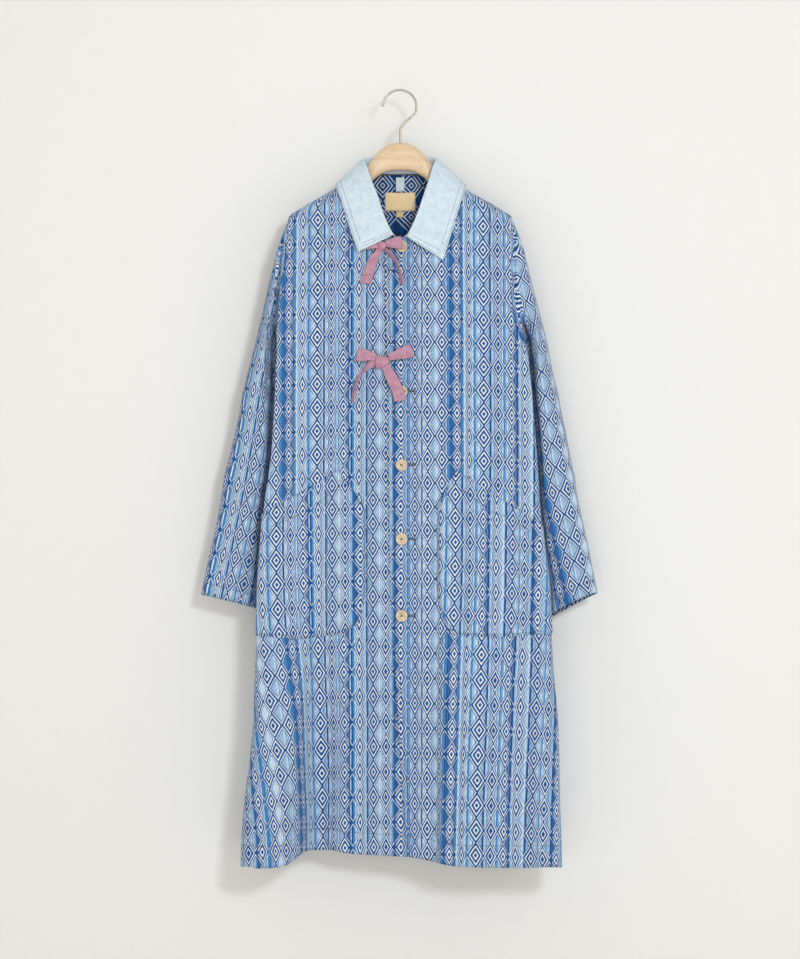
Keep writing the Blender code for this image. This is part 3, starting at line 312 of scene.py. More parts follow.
LOWER_BOW = {
    "knot": (-27.5, -50.5, -419.5), "knot_size": (22.6, 10, 17.6),
    "loops": {
        "left": {"root": (-15.6, -52.5, -413), "tip": (18.5, -56.5, -402), "gap": 4, "pinch": 10,
                 "way": (-0.42, 0, 1)},
        "right": {"root": (-39.6, -52.5, -412), "tip": (-65.5, -54.5, -408), "gap": 3.5, "pinch": 10,
                  "way": (0.23, 0, 1)},
    },
    "tails": {
        "right": {"path": ((-40, -50.5, -423), (-52, -52, -428), (-63, -53.6, -439), (-70, -54.4, -458),
                           (-74, -54, -482)),
                  "ways": ((0.1, 0, 1), (0.3, -0.3, 0.8), (0.5, -0.8, 0.4), (0.2, -1, 0.05), (0.2, -1, 0)),
                  "pinch": 12},
        "left": {"path": ((-20, -51.5, -429.5), (-11, -54, -448), (-3, -56.7, -466), (0, -56.7, -480)),
                 "ways": ((1, 0, 0.4), (1, 0, 0.35), (1, 0, 0.25), (1, 0, 0.2)), "pinch": 13},
    },
}

# Hanger: top line, height and half thickness of the wood
WOOD = table(
    "out top height half",
    (0, -80, 43, 8.5), (10, -81, 42.5, 8.5), (19, -84, 41, 8.5), (35, -96, 37, 8.5),
    (44, -107, 34, 7.5), (52.7, -118.5, 29, 5), (60, -128, 26, 5), (68, -135, 25, 6.5), (75, -140, 24, 8.5),
    (100, -156, 22, 10), (130, -174, 19, 11), (150, -187, 16, 10), (158, -195, 11, 7), (162, -200, 5, 4),
)


def seen_scale(y):
    """Size of what lies at depth y against what the same outline is in the hanger's plane."""
    return 1 + y / EYE_DISTANCE


def from_sight(points):
    """Real places of points whose x and z are those seen in the hanger's plane."""
    points = np.asarray(points, float)
    scale = seen_scale(points[..., 1])
    real = points.copy()
    real[..., 0] = points[..., 0] * scale
    real[..., 2] = EYE_LEVEL + (points[..., 2] - EYE_LEVEL) * scale
    return real


def read(rows, column, at, key="level"):
    """Smooth curve through one column that never overshoots its points."""
    order = np.argsort(rows[key])
    x = rows[key][order]
    y = rows[column][order]
    step = np.diff(x)
    slope = np.diff(y) / step
    tangent = np.zeros_like(y)
    same = slope[:-1] * slope[1:] > 0
    weight_a = 2 * step[1:] + step[:-1]
    weight_b = step[1:] + 2 * step[:-1]
    safe_a = np.where(same, slope[:-1], 1)
    safe_b = np.where(same, slope[1:], 1)
    mean = (weight_a + weight_b) / (weight_a / safe_a + weight_b / safe_b)
    tangent[1:-1] = np.where(same, mean, 0)
    tangent[0] = slope[0]
    tangent[-1] = slope[-1]
    at = np.clip(np.asarray(at, float), x[0], x[-1])
    i = np.clip(np.searchsorted(x, at) - 1, 0, len(step) - 1)
    t = (at - x[i]) / step[i]
    return (y[i] * (1 + 2 * t) * (1 - t) ** 2 + tangent[i] * step[i] * t * (1 - t) ** 2
            + y[i + 1] * t * t * (3 - 2 * t) + tangent[i + 1] * step[i] * t * t * (t - 1))


def ease(t):
    """Smooth step from 0 to 1."""
    t = np.clip(t, 0, 1)
    return t * t * (3 - 2 * t)


def hump(t):
    """Bell of height 1 and standard width 1."""
    return np.exp(-0.5 * np.asarray(t, float) ** 2)


def fold_depth(folds, across, level):
    """Sum of the folds at a place; each fades out towards its top."""
    total = np.zeros(np.broadcast(across, level).shape)
    for i in range(len(folds["top"])):
        rise = np.clip((level - HEM_LEVEL) / (folds["top"][i] - HEM_LEVEL), 0, 1)
        centre = folds["at_hem"][i] + (folds["at_top"][i] - folds["at_hem"][i]) * rise
        total += folds["depth"][i] * (1 - ease(rise)) * hump((across - centre) / folds["width"][i])
    return total


def front_depth(across, level):
    """How far the front stands before the hanger's plane, folds and all."""
    body = np.where(level < UNDERARM_LEVEL, read(BODY, "front", level), read(CHEST, "front", level))
    rise = np.clip((level - HEM_LEVEL) / (CREASE["top"] - HEM_LEVEL), 0, 1)
    step = CREASE["step"] * (1 - rise) * ease((across - CREASE["at"]) / CREASE["half"] + 0.5)
    return body + fold_depth(FOLDS, across, level) + step


def top_line(across):
    """Level and depth of a front's top edge: neckline inside, shoulder seam outside.

    across is negative where the front laps over the centre; the neckline runs level there.
    """
    out = np.maximum(across, 0)
    part = np.clip(out / NECK_SIDE[0], 0, 1)
    neck_depth = NECK_FRONT_DEPTH * np.sqrt(np.clip(1 - part ** 6, 0, 1))
    neck = read(NECK, "level", out, key="out")
    shoulder = read(SHOULDER, "level", out, key="out")
    inside = out < NECK_SIDE[0]
    return np.where(inside, neck, shoulder), np.where(inside, neck_depth, 0)


def body_rows(hem, top, mesh):
    """Levels of the rows of one column, from hem to underarm to top edge."""
    lower = hem + (UNDERARM_LEVEL - hem) * np.linspace(0, 1, mesh["lower"] + 1)
    upper = UNDERARM_LEVEL + (top - UNDERARM_LEVEL) * mesh["arm"][1:]
    return np.concatenate([lower, upper])


def fall_from_top(y, top_depth, drop):
    """Bring depths back to the top edge where the cloth turns over the shoulder."""
    fallen = np.clip(drop / SHOULDER_ROLL, 0, 1)
    return top_depth + (y - top_depth) * np.sqrt(1 - (1 - fallen) ** 2)


def edge_names(side):
    """Columns of a front's outer edge in the body's tables, and of its front edge."""
    return ("right", "lower") if side < 0 else ("left", "upper")


def front_column(side, part, z, top, top_depth, angle):
    """One column of a front: part of the width, then an angle round the side's roll."""
    edge_name, inner_name = edge_names(side)
    upper = z > UNDERARM_LEVEL
    edge = np.where(upper, read(ARMHOLE, edge_name, z), read(BODY, edge_name, z))
    roll = np.where(upper, BODY["roll"][-1], read(BODY, "roll", z))
    turn = np.radians(np.where(upper, read(ARMHOLE, "turn", z), 90))
    inner = read(FRONT_EDGE, inner_name, z) * side
    end = SHOULDER_END * (1 - turn / np.radians(90))
    corner = edge - roll * np.sin(turn) - end
    flat_x = inner + (corner - inner) * part
    phi = turn * angle / 90
    x = flat_x + roll * np.sin(phi) + end * angle / 90
    y = roll * (1 - np.cos(phi)) - front_depth(flat_x * side, z)
    y = fall_from_top(y, top_depth, top - z)
    if side > 0:
        y = y - lap_rise(flat_x)
    return np.stack([side * x, y, z], axis=1)


def lap_rise(across):
    """How far the upper front stands off where it laps over the lower one."""
    return LAP_RISE * (1 - ease((across - LAP_END) / LAP_FADE))


def front_grid(side, mesh):
    """Outer face of one front. Rows run up from the hem, columns out from the front edge.

    side is -1 for the wearer's right front and 1 for the left one.
    """
    edge_name, inner_name = edge_names(side)
    inner_top = float(read(FRONT_EDGE, inner_name, NECK_FRONT_LEVEL)) * side
    outer_top = float(ARMHOLE[edge_name][-1])
    neck_part = (NECK_SIDE[0] - inner_top) / (outer_top - SHOULDER_END - inner_top)
    parts = np.concatenate([mesh["neck"] * neck_part,
                            np.linspace(neck_part, 1, mesh["side"] + 1)[1:]])
    hem_inner = float(read(FRONT_EDGE, inner_name, HEM_LEVEL)) * side
    hem_edge = float(BODY[edge_name][0])
    hem_corner = hem_edge - float(BODY["roll"][0])
    corner_top = outer_top - SHOULDER_END
    places = [(part, 0, inner_top + (corner_top - inner_top) * part,
               hem_inner + (hem_corner - hem_inner) * part) for part in parts]
    places += [(1, angle, corner_top + SHOULDER_END * angle / 90, hem_edge)
               for angle in mesh["roll"]]
    columns = []
    for part, angle, across_top, across_hem in places:
        top, top_depth = top_line(across_top)
        hem = float(read(HEM, "level", side * across_hem, key="across"))
        rows = body_rows(hem, float(top), mesh)
        columns.append(front_column(side, part, rows, float(top), float(top_depth), angle))
    return np.array(columns).transpose(1, 0, 2)


def back_ends(front, mesh):
    """The back's outer column: the front's side seam, then the back of the armhole."""
    ends = front[:, -1].copy()
    arm = ends[mesh["lower"]:]
    arm[1:, 1] = read(ARMHOLE, "back_depth", arm[1:, 2])
    arm[-1, 1] = 0
    return ends


def back_top(right_front, left_front, mesh):
    """Top edge of the back: the fronts' shoulder seams with the back neckline between them."""
    right = right_front[-1, len(mesh["neck"]) - 1:][::-1]
    left = left_front[-1, len(mesh["neck"]) - 1:]
    share = mesh["back_neck"][1:-1]
    part = np.abs(share)
    y = NECK_BACK_DEPTH * np.sqrt(1 - part ** NECK_BACK_BEND)
    z = NECK_BACK_LEVEL + (NECK_SIDE[1] - NECK_BACK_LEVEL) * part ** 4
    return np.concatenate([right, np.stack([share * NECK_SIDE[0], y, z], axis=1), left])


def back_grid(right_front, left_front, mesh):
    """Outer face of the back, from the wearer's right side seam to the left one."""
    right, left = back_ends(right_front, mesh), back_ends(left_front, mesh)
    top_row = back_top(right_front, left_front, mesh)
    parts = (top_row[:, 0] - top_row[0, 0]) / (top_row[-1, 0] - top_row[0, 0])
    hem_end = right[0, 2] + (left[0, 2] - right[0, 2]) * parts
    hem = hem_end + BACK_HEM_RISE * (1 - np.abs(2 * parts - 1) ** 6)
    levels = np.array([body_rows(low, high, mesh) for low, high in zip(hem, top_row[:, 2])]).T
    rows = []
    for row, z in enumerate(levels[:-1]):
        start, end = right[row], left[row]
        x = start[0] + (end[0] - start[0]) * parts
        inset = np.minimum(x - start[0], end[0] - x)
        near = np.where(parts < 0.5, start[1], end[1])
        base = np.minimum(z, UNDERARM_LEVEL)
        body = np.where(z < UNDERARM_LEVEL, read(BODY, "back", z), read(CHEST, "back", z))
        full = body + fold_depth(BACK_FOLDS, x, z)
        arm = mesh["arm"][max(0, row - mesh["lower"])]
        roll = read(BODY, "roll", base) * (1 - arm)
        tuck = read(BODY, "tuck", base) * (1 - arm) ** 2
        spread = read(BODY, "spread", base) * (1 - ARM_NARROWING * arm)
        rim = roll * np.sqrt(1 - (1 - np.clip(inset / np.maximum(roll, 1), 0, 1)) ** 2)
        y = near + rim + (full - near - rim) * ease((inset - tuck) / (spread - tuck))
        y = fall_from_top(y, top_row[:, 1], top_row[:, 2] - z)
        y[0] = start[1]
        y[-1] = end[1]
        rows.append(np.stack([x, y, z], axis=1))
    rows.append(top_row)
    return np.array(rows)


def sleeve_grid(measures, side, front_end, back_end, back_drop):
    """Outer face of a sleeve as rings down from the armhole, the seam at the underarm."""
    arm_front = front_end[LOWER_ROWS:]
    arm_back = back_end[LOWER_ROWS:][::-1]
    armhole = np.concatenate([arm_front, arm_back[1:-1]])
    half = len(ARM_ROWS) - 1
    arm_share = 2 * np.array(ARM_ROWS) - 1
    even_share = -np.cos(np.pi * np.arange(half + 1) / half)
    face = np.concatenate([-np.ones(half + 1), np.ones(half - 1)])
    shares = (np.concatenate([arm_share, arm_share[1:-1][::-1]]),
              np.concatenate([even_share, even_share[1:-1][::-1]]))
    start = sleeve_ring(measures, side, 0, shares[0], face, back_drop)
    rings = [armhole]
    for along in SLEEVE_RINGS:
        settle = ease(along / SLEEVE_HEAD)
        share = shares[0] + (shares[1] - shares[0]) * ease(along - SLEEVE_HEAD)
        ring = sleeve_ring(measures, side, along, share, face, back_drop)
        rings.append(ring + (armhole - start) * (1 - settle))
    rings = np.array(rings)
    low = ease(-shares[0] / UNDERARM_REACH)
    high = ease((UNDERARM_END - np.array(SLEEVE_RINGS[:-1])) / UNDERARM_FADE)
    weight = high[:, None, None] * low[:, None]
    for _ in range(UNDERARM_STEPS):
        around = (np.roll(rings, 1, axis=1) + np.roll(rings, -1, axis=1)) / 2
        along = (rings[:-2] + rings[2:]) / 2
        even = ROUND_SHARE * around[1:-1] + (1 - ROUND_SHARE) * along
        rings[1:-1] += (even - rings[1:-1]) * weight
    return rings[::-1]


def sleeve_ring(measures, side, along, share, face, back_drop):
    """One ring of a sleeve: a flat oval between its outer and its inner line."""
    def at(column):
        return float(read(measures, column, along, key="along"))

    outer, inner = (np.array([at(line + c) for c in "xyz"]) * (side, 1, 1) for line in ("out_", "in_"))
    middle = (outer + inner) / 2
    ring = middle + np.outer(share, (outer - inner) / 2)
    bulge = np.sqrt(np.clip(1 - share ** 2, 0, 1))
    inside = ease((LEAN_FROM - share) / (LEAN_FROM + 1))
    front_bulge = bulge * (1 - at("lean") * inside * (face < 0))
    ring[:, 1] += face * at("depth") * front_bulge
    ring[:, 2] += at("arch") * bulge - back_drop * along ** 4 * bulge * (face > 0)
    return ring


def quads(rows, columns, wrap, start, flip):
    """Four-sided faces of a grid of points, counted from start."""
    faces = []
    for i in range(rows - 1):
        for j in range(columns if wrap else columns - 1):
            a = start + i * columns + j
            b = start + i * columns + (j + 1) % columns
            face = (a, b, b + columns, a + columns)
            faces.append(face[::-1] if flip else face)
    return faces


def tree_of(*grids):
    """Search tree over the triangles of grids of points; each comes with its wrap and flip."""
    points, faces = [], []
    for grid, wrap, flip in grids:
        for a, b, c, d in quads(*grid.shape[:2], wrap, len(points), False):
            faces += [(c, b, a), (d, c, a)] if flip else [(a, b, c), (a, c, d)]
        points += [Vector(p) for p in grid.reshape(-1, 3)]
    return BVHTree.FromPolygons(points, faces)


def spline(a, b, c, d, u):
    """Place between b and c on the smooth curve through four points."""
    return 0.5 * (2 * b + (c - a) * u + (2 * a - 5 * b + 4 * c - d) * u * u
                  + (3 * b - a - 3 * c + d) * u ** 3)


def rounded(points, count):
    """A smooth path of count points through a few given ones."""
    points = np.asarray(points, float)
    knots = np.linspace(0, 1, len(points))
    ends = np.vstack([2 * points[0] - points[1], points, 2 * points[-1] - points[-2]])
    path = []
    for t in np.linspace(0, 1, count):
        i = min(int(np.searchsorted(knots, t, side="right")) - 1, len(points) - 2)
        u = (t - knots[i]) / (knots[i + 1] - knots[i])
        path.append(spline(*ends[i:i + 4], u))
    return np.array(path)


def collar_station(measures, side, along, neckline):
    """Profile of the collar at one place: up the stand, over the roll, down the fall."""
    def at(name):
        return float(read(measures, name, along, key="along"))

    roll, edge = (np.array([at(line + c) for c in "xyz"]) for line in ("roll_", "edge_"))
    line = neckline["front" if along < COLLAR_SHOULDER else "back"]
    seam = np.array([np.interp(at("seam"), line[:, 0], line[:, i]) for i in range(3)])
    seam += (roll - seam) / np.linalg.norm(roll - seam) * SEAM_LIFT
    down = seam - roll
    over = edge - roll
    up = -(down / np.linalg.norm(down) + over / np.linalg.norm(over))
    up /= np.linalg.norm(up)
    out = over - down * np.dot(over, down) / np.dot(down, down)
    out /= np.linalg.norm(out)
    stand_top = roll - (up + out) * ROLL_RADIUS
    fall_top = roll - (up - out) * ROLL_RADIUS
    profile = [seam, (seam + stand_top) / 2, stand_top, roll]
    profile += [fall_top + (edge - fall_top) * share for share in np.linspace(0, 1, COLLAR_FALL_ROWS)]
    return np.array(profile) * (side, 1, 1)


def rest_on(points, tree, clearance):
    """Move points out of a surface until they stand clear of it."""
    for i, point in enumerate(points):
        place, normal, _, _ = tree.find_nearest(Vector(point))
        short = clearance - (Vector(point) - place).dot(normal)
        if short > 0:
            points[i] = point + np.array(normal) * short


def wrap_loop(root, tip, gap, count):
    """Path of a bow's loop: out along the back, round the end and home along the front."""
    root, tip = np.array(root, float), np.array(tip, float)
    path = []
    for turn in math.pi * np.linspace(0, 1, count):
        out = math.sin(turn) ** LOOP_ROUND
        point = root + (tip - root) * out
        point[1] += gap * math.cos(turn) * (LOOP_CLOSE + (1 - LOOP_CLOSE) * out)
        path.append(point)
    return np.array(path)


# Drawing the cloth finely

def cubic(values, times, wrap):
    """Values along the first axis in finer steps, on smooth curves through the given ones."""
    count = len(values)
    if wrap:
        ends = np.concatenate([values[-1:], values, values[:2]])
        last = count
    else:
        ends = np.concatenate([2 * values[:1] - values[1:2], values,
                               2 * values[-1:] - values[-2:-1]])
        last = count - 1
    at = np.arange(last * times + (0 if wrap else 1)) / times
    i = np.minimum(at.astype(int), last - 1)
    u = (at - i).reshape((-1,) + (1,) * (values.ndim - 1))
    return spline(ends[i], ends[i + 1], ends[i + 2], ends[i + 3], u)


def refined(grid, times, wrap):
    """A grid of points drawn more finely both ways."""
    rows = cubic(grid, times[0], False)
    return cubic(rows.transpose(1, 0, 2), times[1], wrap).transpose(1, 0, 2)


def grid_normals(grid, wrap, flip):
    """Outward direction at each point of a grid."""
    up = np.gradient(grid, axis=0)
    if wrap:
        across = (np.roll(grid, -1, axis=1) - np.roll(grid, 1, axis=1)) / 2
    else:
        across = np.gradient(grid, axis=1)
    normal = np.cross(across, up)
    normal /= np.maximum(np.linalg.norm(normal, axis=2, keepdims=True), 1e-9)
    return -normal if flip else normal


def lengths_along(points):
    """Length along a run of points, from its first one."""
    return np.concatenate([[0], np.cumsum(np.linalg.norm(np.diff(points, axis=0), axis=1))])


def arc(points, axis):
    """Length along rows or columns from the first point on."""
    step = np.linalg.norm(np.diff(points, axis=axis), axis=2)
    pad = [(0, 0), (0, 0)]
    pad[axis] = (1, 0)
    return np.pad(np.cumsum(step, axis=axis), pad)


def add_object(name, mesh):
    made = bpy.data.objects.new(name, mesh)
    bpy.context.scene.collection.objects.link(made)
    return made


def set_uv(mesh, uv):
    """Give each corner the flat-cloth place of its vertex, in metres."""
    layer = mesh.uv_layers.new(name="cloth")
    index = np.zeros(len(mesh.loops), int)
    mesh.loops.foreach_get("vertex_index", index)
    layer.data.foreach_set("uv", uv[index].ravel())


def mesh_from(name, points, faces, uv, materials, slots=None):
    """A smooth mesh from points in millimetres, with UVs and a material slot for each face."""
    mesh = bpy.data.meshes.new(name)
    mesh.from_pydata([tuple(p) for p in np.asarray(points) * MM], [], faces)
    for finish in materials:
        mesh.materials.append(finish)
    if slots is not None:
        mesh.polygons.foreach_set("material_index", np.asarray(slots, np.int32))
    if uv is not None:
        set_uv(mesh, np.asarray(uv))
    mesh.shade_smooth()
    mesh.update()
    return mesh


def capped(rows, columns, flip):
    """Faces of a tube made of rings, with both of its ends closed."""
    first = tuple(range(columns))
    last = tuple((rows - 1) * columns + j for j in first)
    ends = [first, last[::-1]] if flip else [first[::-1], last]
    return quads(rows, columns, True, 0, flip) + ends


def rim_loops(rows, columns, wrap):
    """Runs of grid points along the open edges."""
    bottom = list(range(columns))
    top = [(rows - 1) * columns + j for j in bottom[::-1]]
    if wrap:
        return [bottom + bottom[:1], top + top[:1]]
    right = [i * columns + columns - 1 for i in range(1, rows)]
    left = [i * columns for i in range(rows - 2, -1, -1)]
    return [bottom + right + top[1:] + left]


def shell(name, outer, inner, uv, wrap, flip, materials):
    """A closed wall between two grids: face and edge take the first slot, the reverse the second."""
    rows, columns = outer.shape[:2]
    size = rows * columns
    points = np.concatenate([outer.reshape(-1, 3), inner.reshape(-1, 3)])
    faces = quads(rows, columns, wrap, 0, flip)
    slots = [0] * len(faces) + [1] * len(faces)
    faces += quads(rows, columns, wrap, size, not flip)
    for loop in rim_loops(rows, columns, wrap):
        for a, b in zip(loop, loop[1:]):
            quad = (b, a, size + a, size + b)
            faces.append(quad[::-1] if flip else quad)
            slots.append(0)
    flat = np.asarray(uv, float).reshape(-1, 2)
    mesh = mesh_from(name, points, faces, np.concatenate([flat, flat]), materials, slots)
    return add_object(name, mesh)


def sink_seams(outer, normals, edges):
    """Press the cloth in along its seams; edges name the sides that are sewn."""
    depth = np.zeros(outer.shape[:2])
    for edge in edges:
        for step, share in enumerate(SEAM_SHARES):
            row, column = {"top": (-1 - step, slice(None)), "left": (slice(None), step),
                           "right": (slice(None), -1 - step)}[edge]
            depth[row, column] = np.maximum(depth[row, column], share * SEAM_SINK)
    return outer - normals * depth[:, :, None]


# Creases
CREASE_STRENGTH = 1.5
WAVE_COUNT = 5         # slight unevenness of hanging cloth: long waves in chosen directions


def crease_field(rows, x, z):
    """Sum of soft ridges and troughs; each row is one crease from one place to another."""
    total = np.zeros(np.broadcast(x, z).shape)
    for x0, z0, x1, z1, bow, width, height in rows:
        length = math.hypot(x1 - x0, z1 - z0)
        ux, uz = (x1 - x0) / length, (z1 - z0) / length
        along = ((x - x0) * ux + (z - z0) * uz) / length
        bend = bow * 4 * along * (1 - along)
        off = -(x - x0) * uz + (z - z0) * ux - bend
        fade = np.clip(1 - np.abs(2 * along - 1) ** 3, 0, 1) * (np.abs(along - 0.5) < 0.5)
        total += CREASE_STRENGTH * height * hump(off / width) * fade
    return total


def soft_waves(x, z, seed, length, height):
    """Sum of a few long waves, each in its own direction."""
    total = np.zeros(np.broadcast(x, z).shape)
    for i in range(WAVE_COUNT):
        angle = seed * 1.7 + i * 2.4
        scale = length * (0.7 + 0.25 * i)
        total += np.sin((x * math.cos(angle) * 1.6 + z * math.sin(angle) * 0.45) * 2 * math.pi / scale
                        + seed * 3.1 + i) * height / (1 + 0.5 * i)
    return total


# Ridges (+) and troughs (-) seen from the front: from x z, to x z, bow, half width, height
FRONT_CREASES = (
    (56, -600, 60, -1192, 2, 6, -2.2),
    (68, -560, 74, -1150, 2, 9, 1.6),
    (-52, -640, -58, -1185, -2, 7, -1.6),
    (174, -262, 150, -330, 3, 5, -1.8),
    (-176, -262, -150, -340, -3, 5, -1.6),
    (-62, -170, -150, -330, 12, 9, 1.6),
    (-120, -185, -172, -300, 6, 8, -1.4),
    (-150, -215, -180, -360, -5, 7, 1.5),
    (-60, -300, -160, -420, 10, 14, -1.2),
    (70, -190, 160, -330, -10, 9, 1.4),
    (120, -190, 168, -300, -6, 8, -1.4),
    (150, -240, 185, -400, 5, 7, 1.5),
    (-180, -430, -150, -560, 5, 10, 1.4),
    (185, -430, 165, -560, -5, 10, 1.2),
    (-110, -470, -75, -600, 0, 12, -1.2),
    (60, -470, 90, -590, 0, 12, -1.1),
    (-160, -860, -175, -1150, 4, 9, 2.0),
    (-190, -840, -215, -1190, 3, 8, -2.0),
    (-95, -870, -105, -1170, 0, 12, -1.8),
    (-20, -640, -30, -1000, 4, 12, 1.2),
    (25, -820, 30, -1180, -2, 10, -1.8),
    (100, -870, 110, -1190, 0, 14, 1.6),
    (180, -860, 190, -1190, -3, 9, -1.6),
    (215, -900, 225, -1190, 0, 8, 1.4),
)
BACK_CREASES = (
    (-100, -170, -165, -320, -8, 10, 1.6),
    (100, -170, 165, -320, 8, 10, 1.6),
    (-20, -150, -60, -330, 0, 12, -1.3),
    (30, -150, 50, -380, 0, 12, -1.3),
    (-150, -430, -90, -620, 10, 12, 1.5),
    (150, -430, 105, -600, -10, 12, 1.4),
    (-60, -600, -80, -1150, 6, 14, 2.2),
    (0, -500, 10, -1150, -5, 16, -2.0),
    (110, -640, 130, -1170, -4, 13, 2.0),
    (-150, -700, -170, -1170, 4, 12, -2.0),
    (190, -700, 205, -1180, -3, 10, 1.6),
)
# On a sleeve: across from the outer line (mm, front positive), down from the armhole (mm)
SLEEVE_CREASES = (
    (8, 14, 36, 44, 3, 5, -1.8),
    (18, 6, 46, 30, 3, 5, 1.5),
    (4, 62, 42, 80, 3, 5, -1.6),
    (12, 130, 60, 118, -3, 7, 1.4),
    (10, 60, 75, 20, 4, 8, 1.6),
    (5, 110, 80, 150, -4, 9, -1.4),
    (20, 190, 95, 250, 6, 8, 1.5),
    (-10, 270, 70, 330, 5, 9, 1.4),
    (15, 350, 90, 310, -5, 8, -1.5),
    (-20, 400, 60, 450, 5, 9, 1.3),
    (10, 480, 85, 520, -4, 8, 1.4),
    (-40, 120, -100, 170, 4, 9, 1.5),
    (-30, 250, -95, 300, -4, 9, 1.4),
    (-45, 380, -110, 330, 4, 9, -1.4),
    (-30, 470, -90, 520, 3, 9, 1.3),
)


# Materials

class Nodes:
    """Short calls for building one material's node tree."""

    def __init__(self, name):
        self.material = bpy.data.materials.new(name)
        self.material.use_nodes = True
        self.tree = self.material.node_tree
        self.shader = self.tree.nodes["Principled BSDF"]

    def node(self, kind, **settings):
        made = self.tree.nodes.new(kind)
        for key, value in settings.items():
            setattr(made, key, value)
        return made

    def plug(self, socket, value):
        if isinstance(value, bpy.types.NodeSocket):
            self.tree.links.new(value, socket)
        elif value is not None:
            socket.default_value = value

    def math(self, operation, a, b=None, clamp=False):
        made = self.node("ShaderNodeMath", operation=operation, use_clamp=clamp)
        for socket, value in zip(made.inputs, (a, b)):
            self.plug(socket, value)
        return made.outputs[0]

    def plus(self, a, b, clamp=False):
        return self.math("ADD", a, b, clamp)

    def minus(self, a, b):
        return self.math("SUBTRACT", a, b)

    def times(self, a, b, clamp=False):
        return self.math("MULTIPLY", a, b, clamp)

    def mix(self, share, a, b):
        made = self.node("ShaderNodeMix", data_type="RGBA", blend_type="MIX")
        self.plug(made.inputs[0], share)
        self.plug(made.inputs[6], a)
        self.plug(made.inputs[7], b)
        return made.outputs[2]

    def ramp(self, at, stops, mode="LINEAR"):
        made = self.node("ShaderNodeValToRGB")
        made.color_ramp.interpolation = mode
        points = made.color_ramp.elements
        while len(points) > 1:
            points.remove(points[-1])
        points[0].position = stops[0][0]
        points[0].color = colour(stops[0][1])
        for position, value in stops[1:]:
            points.new(position).color = colour(value)
        self.plug(made.inputs[0], at)
        return made.outputs[0]

    def uv(self):
        made = self.node("ShaderNodeUVMap", uv_map="cloth")
        split = self.node("ShaderNodeSeparateXYZ")
        self.plug(split.inputs[0], made.outputs[0])
        return split.outputs[0], split.outputs[1]

    def place(self):
        return self.node("ShaderNodeTexCoord").outputs["Object"]

    def join(self, x, y, z=0.0):
        made = self.node("ShaderNodeCombineXYZ")
        for socket, value in zip(made.inputs, (x, y, z)):
            self.plug(socket, value)
        return made.outputs[0]

    def noise(self, vector, scale, detail=2.0, rough=0.5, dimensions="3D"):
        made = self.node("ShaderNodeTexNoise", noise_dimensions=dimensions)
        if dimensions == "1D":
            self.plug(made.inputs["W"], vector)
        else:
            self.plug(made.inputs["Vector"], vector)
        self.plug(made.inputs["Scale"], scale)
        self.plug(made.inputs["Detail"], detail)
        self.plug(made.inputs["Roughness"], rough)
        return made.outputs[0]

    def band(self, value, low, high, soft):
        """1 between two values with soft ends."""
        down = self.math("DIVIDE", self.minus(high, value), soft, clamp=True)
        return self.times(self.above(value, low, soft), down)

    def bands(self, value, limits, soft):
        """1 in any of several bands."""
        total = self.band(value, *limits[0], soft)
        for low, high in limits[1:]:
            total = self.math("MAXIMUM", total, self.band(value, low, high, soft))
        return total

    def above(self, value, low, soft):
        """0 below a value, 1 above it."""
        return self.math("DIVIDE", self.minus(value, low), soft, clamp=True)

    def wave(self, value, length):
        """Sine wave of a length, from -1 to 1."""
        return self.math("SINE", self.times(value, 2 * math.pi / length))

    def steps(self, value, size):
        """A value rounded to whole steps."""
        return self.times(self.math("ROUND", self.math("DIVIDE", value, size)), size)

    def from_middle(self, value):
        """0 in the middle of each whole number's span, 1 at its ends."""
        return self.times(self.math("ABSOLUTE", self.minus(self.math("FRACT", value), 0.5)), 2.0)

    def white(self, x, y):
        """A different number from 0 to 1 for each cell."""
        made = self.node("ShaderNodeTexWhiteNoise", noise_dimensions="2D")
        self.plug(made.inputs["Vector"], self.join(x, y))
        return made.outputs["Value"]

    def stretched(self, point, x, yz, *noise):
        """Noise drawn out along x: how fine it is along x, and across it."""
        split = self.node("ShaderNodeSeparateXYZ")
        self.plug(split.inputs[0], point)
        parts = [self.times(part, fine) for part, fine in zip(split.outputs, (x, yz, yz))]
        return self.noise(self.join(*parts), 1.0, *noise)

    def lacquer(self, amount):
        """A thin clear coat, as rough as it is strong."""
        self.shader.inputs["Coat Weight"].default_value = amount
        self.shader.inputs["Coat Roughness"].default_value = amount

    def finish(self, base, roughness, height, bump, distance):
        """The material, with its colour, its roughness and its relief."""
        made = self.node("ShaderNodeBump")
        made.inputs["Strength"].default_value = bump
        made.inputs["Distance"].default_value = distance
        self.plug(made.inputs["Height"], height)
        self.plug(self.shader.inputs["Base Color"], base)
        self.plug(self.shader.inputs["Roughness"], roughness)
        self.plug(self.shader.inputs["Normal"], made.outputs[0])
        return self.material


def colour(value):
    """sRGB 0 to 255, or a grey from 0 to 1, as linear colour."""
    if isinstance(value, (int, float)):
        return (value, value, value, 1)
    return (*[(v / 255 / 12.92) if v / 255 <= 0.04045 else ((v / 255 + 0.055) / 1.055) ** 2.4
              for v in value], 1)


def soft_cloth(nodes, sheen):
    """Matte cloth with a little nap."""
    nodes.shader.inputs["Specular IOR Level"].default_value = 0.25
    nodes.shader.inputs["Sheen Weight"].default_value = sheen
    nodes.shader.inputs["Sheen Roughness"].default_value = 0.5


